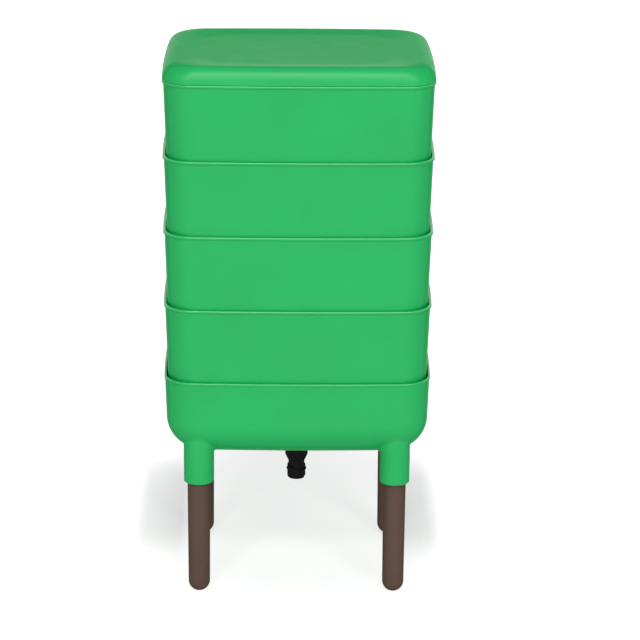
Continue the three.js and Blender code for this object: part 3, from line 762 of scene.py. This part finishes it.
def socket_shell(plan, bowl, rings, centre, mouth, steps=64):
    """A leg socket whose wall runs up into the underside with a fillet.

    In each upright plane through the socket's axis a ball rolls up along the wall: its centre is
    at wall radius + ball radius across, and as high as it goes before it meets the underside, so
    its height is the least of (underside - square root of (radius squared - offset squared)).
    The fillet is the ball's arc from the wall to where it touches. It is larger towards the front
    or back wall of the bowl.
    """
    bearing = np.arange(steps) * TURN / steps
    outwards = np.sign(centre[1]) * np.sin(bearing)
    lean = np.clip(outwards, 0, 1) ** 2 * (3 - 2 * np.clip(outwards, 0, 1))
    ball = bowl.socket_fillet + (bowl.front_fillet - bowl.socket_fillet) * lean
    flare = tan(bowl.socket_flare)
    side = bowl.socket + (rings[0, 0, 2] - mouth) * flare
    # Where the ball may touch, as shares of its radius from its middle
    tries, arc_steps = 160, 9
    offset = np.linspace(-0.999, 0.9, tries)[:, None]
    across = side + ball * (1 + offset)
    x = centre[0] + across * np.cos(bearing)
    y = centre[1] + across * np.sin(bearing)
    ceiling = height_over(rings, x.ravel(), y.ravel()).reshape(x.shape)
    touch = ceiling - ball * np.sqrt(1 - offset ** 2)
    best = touch.argmin(axis=0)
    middle = touch.min(axis=0)
    stop_short = radians(4)
    end = np.arccos(offset[best, 0]) - stop_short
    part = np.linspace(0, 1, arc_steps + 1)[:, None]
    turn = pi + (end - pi) * part
    arc_across = side + ball + ball * np.cos(turn)
    arc_up = middle + ball * np.sin(turn)
    inner, hidden, edge = bowl.socket - plan.wall, plan.wall / 2, plan.small_round
    end_up = arc_up[-1] + hidden
    rows = [(inner, mouth), (bowl.socket - edge, mouth), (bowl.socket, mouth + edge),
            (bowl.socket + edge * flare, mouth + 3 * edge), *zip(arc_across, arc_up),
            (arc_across[-1] - hidden / 2, end_up), (inner, end_up)]
    across, up = (np.stack(np.broadcast_arrays(*column)) for column in zip(*rows))
    points = np.stack([centre[0] + across * np.cos(bearing),
                       centre[1] + across * np.sin(bearing), up], axis=2)
    return skin(points, endless=True)


def socket_fins(plan, bowl, leg, centre, mouth, top):
    """Fins between a socket and its leg."""
    heights = np.array([mouth + bowl.fin_start, top])
    return [bar(bowl.fin_width, leg.top + plan.gap, bowl.socket - plan.wall / 2, heights,
                turn=(i + 0.5) * TURN / bowl.fins, centre=centre)
            for i in range(bowl.fins)]


# One operator for each piece or group of like pieces

class WORMERY_OT_bowl(bpy.types.Operator):
    """Collecting bowl with its sump, four leg sockets and the ribs for a tray"""
    bl_idname = "wormery.bowl"
    bl_label = "Collecting bowl"

    def execute(self, context):
        scene = context.scene
        plan, bowl, tray = scene.wormery_plan, scene.wormery_bowl, scene.wormery_tray
        wall = Wall(plan, bowl.lip, high("collecting_bowl"))
        outer = bowl_floor(plan, bowl, wall, 0)
        inner = bowl_floor(plan, bowl, wall, plan.wall)
        start, end = outer[-1, 0, 2], inner[-1, 0, 2]
        rim = rounded([(wall.outer(start), start, 0), *wall.rim(), (wall.inner(end), end, 0)])
        rim = np.concatenate([[(wall.outer(start + HOLD), start + HOLD)], rim[1:-1],
                              [(wall.inner(end + HOLD), end + HOLD)]])
        shells = [skin(np.concatenate([outer, wall.rings(rim), inner[::-1]]), endless=True)]
        mouth = low(SOCKETS[0])
        for name in LEGS:
            centre = centre_of(name)[:2]
            shells.append(socket_shell(plan, bowl, outer, centre, mouth))
            shells += socket_fins(plan, bowl, scene.wormery_leg, centre, mouth, high(name))
        bottom = start - bowl.rounding / 3
        shells += wall.ribs(tray, bottom, wall.rim_top - tray.nest - plan.gap)
        piece("bowl_shell", shells, green_plastic(scene.wormery_colours, rims=True),
              "green_plastic", "base", "collecting_bowl", "bowl_sump", *SOCKETS)
        return {"FINISHED"}


class WORMERY_OT_trays(bpy.types.Operator):
    """Four nesting trays with a rim, ribs inside and a floor full of round holes"""
    bl_idname = "wormery.trays"
    bl_label = "Trays"

    def execute(self, context):
        scene = context.scene
        plan, tray = scene.wormery_plan, scene.wormery_tray
        for name in TRAYS:
            wall = Wall(plan, plan.rim_lip, high(name))
            under = wall.rim_top - tray.height
            top = under + tray.floor
            flat = wall.inner(top) + 2 * tray.inner_round
            profile = rounded([
                (flat, under, 0), (wall.outer(under), under, tray.foot_round), *wall.rim(),
                (wall.inner(top), top, tray.inner_round), (flat, top, 0),
            ])
            rows = sum(QUARTER) - tray.columns
            floor = pierced_floor(tray.columns, rows, tray.pitch, tray.pitch, tray.hole / 2,
                                  tray.hole / 2, (under, top))
            shells = [pierced_shell(wall.rings(profile), floor)]
            shells += wall.ribs(tray, top - tray.floor / 2, wall.rim_top - tray.nest - plan.gap)
            piece(name + "_shell", shells, green_plastic(scene.wormery_colours, rims=True),
                  "green_plastic", name, name)
        return {"FINISHED"}


class WORMERY_OT_lid(bpy.types.Operator):
    """Lid with a soft edge, a dished top, and a tongue that drops into the top tray"""
    bl_idname = "wormery.lid"
    bl_label = "Lid"

    def execute(self, context):
        scene = context.scene
        plan, lid = scene.wormery_plan, scene.wormery_lid
        top, under = high("lid"), high("tray_1") + plan.gap
        centre = lid.roll_depth + lid.inset
        edge = plan.small_round
        roll_low, ledge = top - lid.roll_height, under + plan.wall
        slope_rings, roll_rings = 10, 15

        def cap(shrink, end):
            """The skin from the middle outwards and down its soft edge, to where its height is
            end. Across the slope the height falls by dish x (3 s squared - 2 s cubed). Up the soft
            edge the ends stand in by aside x (1 - cos roll), and the corners open out by spread
            x (1 - cos roll)."""
            part = np.linspace(1, 0, slope_rings + 1)[:-1]
            slope = part ** 2 * (3 - 2 * part)
            rise = lid.roll_height - shrink
            roll = np.linspace(pi / 2, np.arcsin((end - roll_low) / rise), roll_rings)
            turn = 1 - np.cos(roll)
            inset = np.concatenate([centre + part * lid.dish_width,
                                    centre - (lid.roll_depth - shrink) * np.cos(roll)])
            up = np.concatenate([top - shrink - lid.dish * slope, roll_low + rise * np.sin(roll)])
            top_corner = plan.corner - centre + lid.corner_spread
            corner = np.concatenate([(1 - slope) * top_corner + slope * lid.dish_corner,
                                     plan.corner - inset[len(part):] + lid.corner_spread * turn])
            aside = lid.roll_aside * np.concatenate([np.ones_like(part), turn])
            return plan_rings(plan, inset, corner, up, aside)

        outer, inner = cap(0, roll_low), cap(plan.wall, ledge + 1.5 * edge)
        tongue_out = plan.rim_lip + plan.wall + lid.tongue_gap
        tongue_in = tongue_out + lid.tongue_wall
        skirt = rounded([
            (plan.wall + lid.inset, ledge + 4 * edge, 0),
            (plan.wall + lid.inset, ledge, edge),
            (tongue_in, ledge, edge),
            (tongue_in, under - lid.tongue_depth, edge),
            (tongue_out, under - lid.tongue_depth, edge),
            (tongue_out, under, edge),
            (lid.inset, under, edge / 2),
            (lid.inset, roll_low, 0),
        ], hold=0.0006)[1:-1]
        rings = plan_rings(plan, skirt[:, 0], plan.corner - skirt[:, 0], skirt[:, 1])
        shells = [skin(np.concatenate([inner, rings, outer[::-1]]))]
        piece("lid_shell", shells, green_plastic(scene.wormery_colours), "green_plastic",
              "lid", "lid")
        return {"FINISHED"}


class WORMERY_OT_sieve(bpy.types.Operator):
    """Sieve plate with an upturned rim and rows of slots, which rests in the bowl"""
    bl_idname = "wormery.sieve"
    bl_label = "Sieve plate"

    def execute(self, context):
        scene = context.scene
        plan, sieve = scene.wormery_plan, scene.wormery_sieve
        under, top = low("sieve_plate"), high("sieve_plate")
        inset = plan.length / 2 - reach("sieve_plate")
        corner = plan.corner - inset * sieve.corner_share
        plate = under + sieve.plate
        flat = inset + sieve.rim + sieve.margin
        edge = plan.small_round
        profile = rounded([
            (flat, under, 0), (inset, under, 2 * edge), (inset, top, edge),
            (inset + sieve.rim, top, edge), (inset + sieve.rim, plate, 2 * edge),
            (flat, plate, 0),
        ], hold=0.0006)
        rings = plan_rings(plan, profile[:, 0], corner - (profile[:, 0] - inset), profile[:, 1])
        rows = sum(QUARTER) - sieve.columns
        floor = pierced_floor(sieve.columns, rows, sieve.pitch_x, sieve.pitch_y,
                              sieve.slot_length / 2, sieve.slot_width / 2, (under, plate))
        piece("sieve_plate_slotted", [pierced_shell(rings, floor)],
              green_plastic(scene.wormery_colours), "green_plastic", "base", "sieve_plate")
        return {"FINISHED"}


class WORMERY_OT_legs(bpy.types.Operator):
    """Four slightly tapered tube legs with domed feet"""
    bl_idname = "wormery.legs"
    bl_label = "Legs"

    def execute(self, context):
        scene = context.scene
        leg = scene.wormery_leg
        inside = leg.foot - leg.wall
        dome_rings = 12
        dome = np.linspace(0, pi / 2, dome_rings + 1)[1:]
        outer = np.stack([leg.foot * np.sin(dome), leg.foot - leg.foot * np.cos(dome)], 1)
        within = np.stack([inside * np.sin(dome), leg.foot - inside * np.cos(dome)], 1)
        outer[0, 1] = 0
        for name in LEGS:
            top = high(name)
            tip = rounded([(leg.foot, leg.foot, 0), (leg.top, top, leg.edge),
                           (leg.top - leg.wall, top, leg.edge), (inside, leg.foot, 0)])[1:-1]
            profile = np.concatenate([outer, tip, within[::-1]])
            shells = [turned(profile, steps=56, endless=False, centre=centre_of(name)[:2])]
            piece(name + "_tube", shells, brown_plastic(scene.wormery_colours),
                  "brown_plastic", "base", name)
        return {"FINISHED"}


class WORMERY_OT_tap(bpy.types.Operator):
    """Tap under the bowl: tube, gasket, washer, nut, turning sleeve, clip and plunger"""
    bl_idname = "wormery.tap"
    bl_label = "Tap"

    def execute(self, context):
        scene = context.scene
        tap, gap = scene.wormery_tap, scene.wormery_plan.gap
        black = black_plastic(scene.wormery_colours)
        soft = rubber(scene.wormery_colours)
        edge = 2 * tap.edge

        def ring(name, node, inner, material, slot, body):
            """A flat ring with soft edges, as large as its node."""
            outer, bottom, top = reach(node), low(node), high(node)
            profile = rounded([(inner, bottom, edge), (outer, bottom, edge), (outer, top, edge),
                               (inner, top, edge)], closed=True)
            piece(name, [turned(profile)], material, slot, body, node)

        hole = tap.tube + gap
        ring("tap_gasket_ring", "tap_gasket", hole, soft, "rubber", "base")
        ring("tap_washer_ring", "tap_washer", hole, black, "black_plastic", "base")
        ring("plunger_seal_ring", "plunger_seal", tap.bore, soft, "rubber", "plunger")
        self.tube(tap, gap, black)
        self.nut(tap, hole, black)
        self.sleeve(tap, hole, black)
        self.clip(tap, gap, black)
        self.plunger(tap, gap, scene.wormery_colours, black)
        return {"FINISHED"}

    def tube(self, tap, gap, black):
        """Tube with a flange, a groove for the clip and an upright slot at the back for the pin.
        Its radius changes over a step so low that it looks square."""
        bottom, top = low("tap_body"), high("tap_body")
        flange_low, flange_out = top - tap.flange, reach("tap_body")
        pin_up = centre_of("plunger_pin")[2]
        half = tap.pin + gap
        groove = tap.tube - tap.groove
        opening = half / tap.tube
        steps, slot_row, step = 48, 5, 1e-5

        def aside(bearing):
            """Angle from the back."""
            return np.abs((bearing + pi / 2) % TURN - pi)

        # The columns next to the slot give way to its two sides
        plain = (np.arange(steps) + 0.5) * TURN / steps
        slot_sides = [pi / 2 - opening, pi / 2 + opening]
        bearing = np.sort(np.append(plain[aside(plain) > 1.2 * opening], slot_sides))
        clip_low, clip_high = low("tap_clip") - gap, high("tap_clip") + gap
        profile = np.array([
            (tap.tube, bottom), (tap.tube, clip_low), (groove, clip_low + step),
            (groove, clip_high), (tap.tube, clip_high + step), (tap.tube, pin_up - half),
            (tap.tube, pin_up + tap.lift + half), (tap.tube, flange_low)])
        outer, levels = (np.repeat(part[:, None], len(bearing), axis=1) for part in profile.T)
        keep = np.ones((len(profile) - 1, len(bearing)), bool)
        middle = bearing + (np.roll(bearing, -1) - bearing) % TURN / 2
        keep[slot_row] = aside(middle) > opening
        flange = rounded([
            (tap.bore, flange_low, 0), (flange_out, flange_low, 0.0008),
            (flange_out, top, 4 * tap.edge), (tap.bore, top, 0),
        ], closed=True)
        piece("tap_tube", [tube_cells(tap.bore, outer, bearing, levels, keep), turned(flange)],
              black, "black_plastic", "base", "tap_body")

    def nut(self, tap, hole, black):
        """Clamping nut with finger notches: grip radius - depth x ((1 + cos (notches x bearing))
        / 2) squared."""
        bottom, top = low("tap_nut"), high("tap_nut")
        cone = bottom + tap.cone_height
        under_grip = cone + tap.neck_height
        edge, steps = tap.edge, 128
        profile = rounded([
            (hole, bottom, edge), (hole + 3 * edge, bottom, 0.0004), (tap.neck, cone, 0.002),
            (tap.neck, under_grip, 0.001), (tap.grip, under_grip, 4 * edge),
            (tap.grip, top, 2 * edge), (hole, top, edge),
        ], closed=True, hold=0.0006)
        bearings = np.arange(steps) * TURN / steps
        rings = round_rings(profile[:, 0], profile[:, 1], bearings)
        wave = ((1 + np.cos(tap.notches * bearings)) / 2) ** 2
        part = np.clip((profile[:, 0] - tap.neck) / (tap.grip - tap.neck), 0, 1)[:, None]
        rings[:, :, :2] *= (1 - part * wave * tap.notch / tap.grip)[:, :, None]
        piece("tap_nut_grip", [skin(rings, endless=True)], black, "black_plastic", "base",
              "tap_nut")

    def sleeve(self, tap, hole, black):
        """Turning sleeve. Its top edge falls from left to right across the front, and the slot
        at its back falls with the bearing, so that it lifts the pin when the sleeve turns."""
        bottom, top = low("tap_sleeve"), high("tap_sleeve")
        pin_up = centre_of("plunger_pin")[2]
        half = tap.slot / 2
        margin = half / tap.sleeve
        columns, slot_row, least_wall = 96, 2, 0.0002
        chamfer, foot = 2 * tap.edge, 0.0008
        bearing = (np.arange(columns) + 0.5) * TURN / columns
        begin, end = -margin, pi / 2 + margin
        for stop in (begin, end):
            bearing[np.abs((bearing - stop + pi) % TURN - pi).argmin()] = stop % TURN
        bearing = np.sort(bearing)
        slope = tap.lift / (pi / 2)
        # A hair is added, so that the slot's first column doesn't come out as a whole turn
        turn = (bearing - begin + 1e-9) % TURN
        wide = end - begin
        start = pin_up + tap.lift + slope * margin
        slot_up = np.interp(turn, [0, wide, TURN], [start, pin_up - slope * margin, start])
        fall = np.interp(bearing, [pi, pi + tap.fall_angle], [0, 1])
        rim = top - tap.sleeve_fall * fall
        over_slot = slot_up + half
        heights = np.stack([np.full(columns, bottom), np.full(columns, bottom + foot),
                            slot_up - half, over_slot,
                            np.maximum(rim - chamfer, over_slot + least_wall), rim])
        keep = np.ones((len(heights) - 1, columns), bool)
        middle = (turn + (np.roll(bearing, -1) - bearing) % TURN / 2) % TURN
        keep[slot_row] = middle > wide
        outer = np.full(heights.shape, tap.sleeve)
        outer[0] -= chamfer
        outer[-1] -= tap.edge
        shells = [tube_cells(hole, outer, bearing, heights, keep)]
        lug_top = top - tap.sleeve_fall + tap.lug_rise
        for side in (0, pi):
            shells.append(bar(tap.lug_width, (hole + tap.sleeve) / 2, reach("tap_sleeve"),
                              np.array([lug_top - tap.lug_height, lug_top]), turn=side))
        piece("tap_sleeve_turned", shells, black, "black_plastic", "tap_sleeve", "tap_sleeve")

    def clip(self, tap, gap, black):
        """Split ring in the tube's groove."""
        bottom, top = low("tap_clip"), high("tap_clip")
        half, columns = tap.clip_opening / 2, 49
        bearing = np.linspace(half, TURN - half, columns)
        levels = np.repeat(np.array([[bottom], [top]]), columns, axis=1)
        keep = np.ones((1, columns), bool)
        keep[0, -1] = False
        outer = -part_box("tap_clip")[0].x
        inner = tap.tube - tap.groove + gap
        piece("tap_clip_ring", [tube_cells(inner, outer, bearing, levels, keep)], black,
              "black_plastic", "base", "tap_clip")

    def plunger(self, tap, gap, colours, black):
        """Plunger with a stem, guides and a head, and the steel pin that stands out of it towards
        the back."""
        bottom, top = low("plunger"), high("plunger")
        seat = high("plunger_seal") + gap
        spigot, spigot_low = tap.bore - gap, seat - tap.spigot
        head_top, head_out = seat + tap.head, reach("plunger")
        profile = rounded([
            (0, bottom, 0), (tap.stem, bottom, 2 * tap.edge), (tap.stem, spigot_low, 0.0005),
            (spigot, spigot_low, 0.0004), (spigot, seat, 0.0002), (head_out, seat, 2 * tap.edge),
            (head_out, head_top, 0.001), (tap.stem, top, 0.002), (0, top, 0),
        ], hold=0.0004)[1:-1]
        shells = [turned(profile, endless=False)]
        guide = high("tap_body") - tap.flange - tap.guide_drop
        for i in range(tap.guides):
            shells.append(bar(tap.guide_width, tap.stem / 2, spigot,
                              np.array([guide - tap.guide_height, guide]),
                              turn=(i + 0.5) * TURN / tap.guides))
        piece("plunger_stem", shells, black, "black_plastic", "plunger", "plunger")
        front, back = (-corner.y for corner in reversed(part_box("plunger_pin")))
        profile = rounded([(0, front, 0), (tap.pin, front, 0.0004), (tap.pin, back, 0.0004),
                           (0, back, 0)])[1:-1]
        points, faces = turned(profile, steps=24, endless=False)
        up = centre_of("plunger_pin")[2]
        points = np.stack([points[:, 0], points[:, 2], -points[:, 1] + up], axis=1)
        steel = brushed("drawn_steel", colours.steel, 0.3)
        piece("plunger_cross_pin", [(points, faces)], steel, "steel", "plunger", "plunger_pin")


class WORMERY_OT_stage(bpy.types.Operator):
    """White floor and background, soft lights, and the camera"""
    bl_idname = "wormery.stage"
    bl_label = "Stage"

    def execute(self, context):
        scene = context.scene
        stage = scene.wormery_stage
        scene.view_settings.view_transform = "Standard"
        self.floor(stage, scene)
        self.world(stage, scene)
        self.lamps(scene)
        self.camera(stage, scene)
        return {"FINISHED"}

    def floor(self, stage, scene):
        """A square floor. It glows white where it is seen, as the background does, and keeps the
        shadows. Its glow is weaker in a soft oval under the object, and weaker still in two
        painted shadows beside the legs."""
        half = stage.floor / 2
        mesh = bpy.data.meshes.new("floor")
        mesh.from_pydata([(-half, -half, 0), (half, -half, 0), (half, half, 0), (-half, half, 0)],
                         [], [(0, 1, 2, 3)])
        floor = bpy.data.objects.new("floor", mesh)
        scene.collection.objects.link(floor)
        material = bpy.data.materials.new("white_floor")
        tree = node_tree(material)
        place = shader_node(tree, "ShaderNodeTexCoord").outputs["Object"]
        squash, shift, oval_start, oval_end = (1, 0.6, 0), (0, -0.12, 0), 0.16, 0.34
        oval = shader_node(tree, "ShaderNodeVectorMath", {0: place, 1: squash, 2: shift},
                           operation="MULTIPLY_ADD")
        away = shader_node(tree, "ShaderNodeVectorMath", {0: oval.outputs[0]},
                           operation="LENGTH")
        strength = self.fade(tree, away.outputs["Value"], oval_start, oval_end, stage.shade)
        plain, bright = (shader_node(tree, "ShaderNodeBsdfDiffuse",
                                     {"Color": (level, level, level, 1)}).outputs[0]
                         for level in (stage.bounce, stage.shading))
        glow = shader_node(tree, "ShaderNodeEmission", {
            "Color": (*scene.wormery_colours.floor, 1),
            "Strength": self.painted_shadows(tree, place, strength, stage.painted_shadows)})
        both = shader_node(tree, "ShaderNodeAddShader", {0: bright, 1: glow.outputs[0]})
        mix = shader_node(tree, "ShaderNodeMixShader",
                          {0: seen_rays(tree), 1: plain, 2: both.outputs[0]})
        shader_node(tree, "ShaderNodeOutputMaterial", {"Surface": mix.outputs[0]})
        mesh.materials.append(material)

    def fade(self, tree, value, start, end, least=0.0):
        """A smooth rise from least to 1 while the value goes from start to end."""
        return shader_node(tree, "ShaderNodeMapRange", {
            "Value": value, "From Min": start, "From Max": end, "To Min": least, "To Max": 1.0,
        }, interpolation_type="SMOOTHSTEP").outputs["Result"]

    def painted_shadows(self, tree, place, strength, depth):
        """Paints two shadows beside the legs: grey areas of painted shade, taken out of the
        floor's glow. Both are one area over the distances from their shared middle, sideways and
        towards the back."""
        shift = (0.0145, -0.23, 0)
        moved = shader_node(tree, "ShaderNodeVectorMath", {0: place, 1: shift}, operation="ADD")
        folded = shader_node(tree, "ShaderNodeVectorMath", {0: moved.outputs[0]},
                             operation="ABSOLUTE")
        parts = shader_node(tree, "ShaderNodeSeparateXYZ", {0: folded.outputs[0]})
        # Painted shade: a mask that is 1 inside the two painted shadows and 0 outside them
        painted_shadow_mask = 1.0
        for axis, start, end in (("X", 0.14, 0.165), ("X", 0.247, 0.212), ("Y", 0.27, 0.1)):
            edge = self.fade(tree, parts.outputs[axis], start, end)
            painted_shadow_mask = shader_node(tree, "ShaderNodeMath", {0: painted_shadow_mask, 1: edge},
                                operation="MULTIPLY").outputs[0]
        # Painted shade: the glow less the painted shadows' depth where the mask is 1
        return shader_node(tree, "ShaderNodeMath", {0: painted_shadow_mask, 1: -depth, 2: strength},
                           operation="MULTIPLY_ADD").outputs[0]

    def world(self, stage, scene):
        """White where it is seen, and a weak even light on the object."""
        world = bpy.data.worlds.new("studio")
        scene.world = world
        tree = node_tree(world)
        room, white = (shader_node(tree, "ShaderNodeBackground",
                                   {"Color": (*tint, 1), "Strength": strength}).outputs[0]
                       for tint, strength in (((1, 1, 1), stage.room),
                                              (scene.wormery_colours.floor, 1.0)))
        mix = shader_node(tree, "ShaderNodeMixShader", {0: seen_rays(tree), 1: room, 2: white})
        shader_node(tree, "ShaderNodeOutputWorld", {"Surface": mix.outputs[0]})

    def lamps(self, scene):
        """Two large soft lamps in front, whose shadows of the legs cross behind the tap, and a
        wide one between them, whose reflection runs along the lid's front edge."""
        distance = 14.0
        aim = Vector((0, 0, 0.4))
        for name, bearing, climb, width, height, power in (("left", -19, 23, 4.2, 4.2, 325),
                                                           ("right", 28, 23, 4.2, 4.2, 325),
                                                           ("middle", 2, 46, 9.7, 2.8, 655)):
            bearing, climb = radians(bearing), radians(climb)
            towards = Vector((sin(bearing) * cos(climb), -cos(bearing) * cos(climb), sin(climb)))
            data = bpy.data.lights.new(name, "AREA")
            data.shape = "ELLIPSE"
            data.size = width
            data.size_y = height
            data.energy = power
            lamp = bpy.data.objects.new(name, data)
            lamp.location = aim + towards * distance
            lamp.rotation_euler = towards.to_track_quat("Z", "Y").to_euler()
            scene.collection.objects.link(lamp)

    def camera(self, stage, scene):
        """The camera at the photograph's viewing angle."""
        data = bpy.data.cameras.new("camera")
        data.lens = stage.lens
        data.sensor_width = 36
        camera = bpy.data.objects.new("camera", data)
        place = Matrix.Translation((stage.camera_x, stage.camera_y, stage.camera_z))
        camera.matrix_world = (place @ Matrix.Rotation(-stage.yaw, 4, "Z")
                               @ Matrix.Rotation(pi / 2 - stage.pitch, 4, "X")
                               @ Matrix.Rotation(stage.roll, 4, "Z"))
        scene.collection.objects.link(camera)
        scene.camera = camera


OPERATORS = (WORMERY_OT_bowl, WORMERY_OT_legs, WORMERY_OT_sieve, WORMERY_OT_trays,
             WORMERY_OT_lid, WORMERY_OT_tap, WORMERY_OT_stage)


class WORMERY_PT_panel(bpy.types.Panel):
    """Buttons that make the wormery piece by piece"""
    bl_idname = "WORMERY_PT_panel"
    bl_label = "Wormery"
    bl_space_type = "VIEW_3D"
    bl_region_type = "UI"
    bl_category = "Wormery"

    def draw(self, context):
        for operator in OPERATORS:
            self.layout.operator(operator.bl_idname)


CLASSES = (*GROUPS.values(), *OPERATORS, WORMERY_PT_panel)


def register():
    for made in CLASSES:
        bpy.utils.register_class(made)
    for name, group in GROUPS.items():
        setattr(bpy.types.Scene, name, PointerProperty(type=group))


def unregister():
    for name in GROUPS:
        delattr(bpy.types.Scene, name)
    for made in reversed(CLASSES):
        bpy.utils.unregister_class(made)


def main():
    register()
    bpy.ops.wormery.bowl()
    bpy.ops.wormery.legs()
    bpy.ops.wormery.sieve()
    bpy.ops.wormery.trays()
    bpy.ops.wormery.lid()
    bpy.ops.wormery.tap()
    bpy.ops.wormery.stage()


if __name__ == "__main__":
    main()
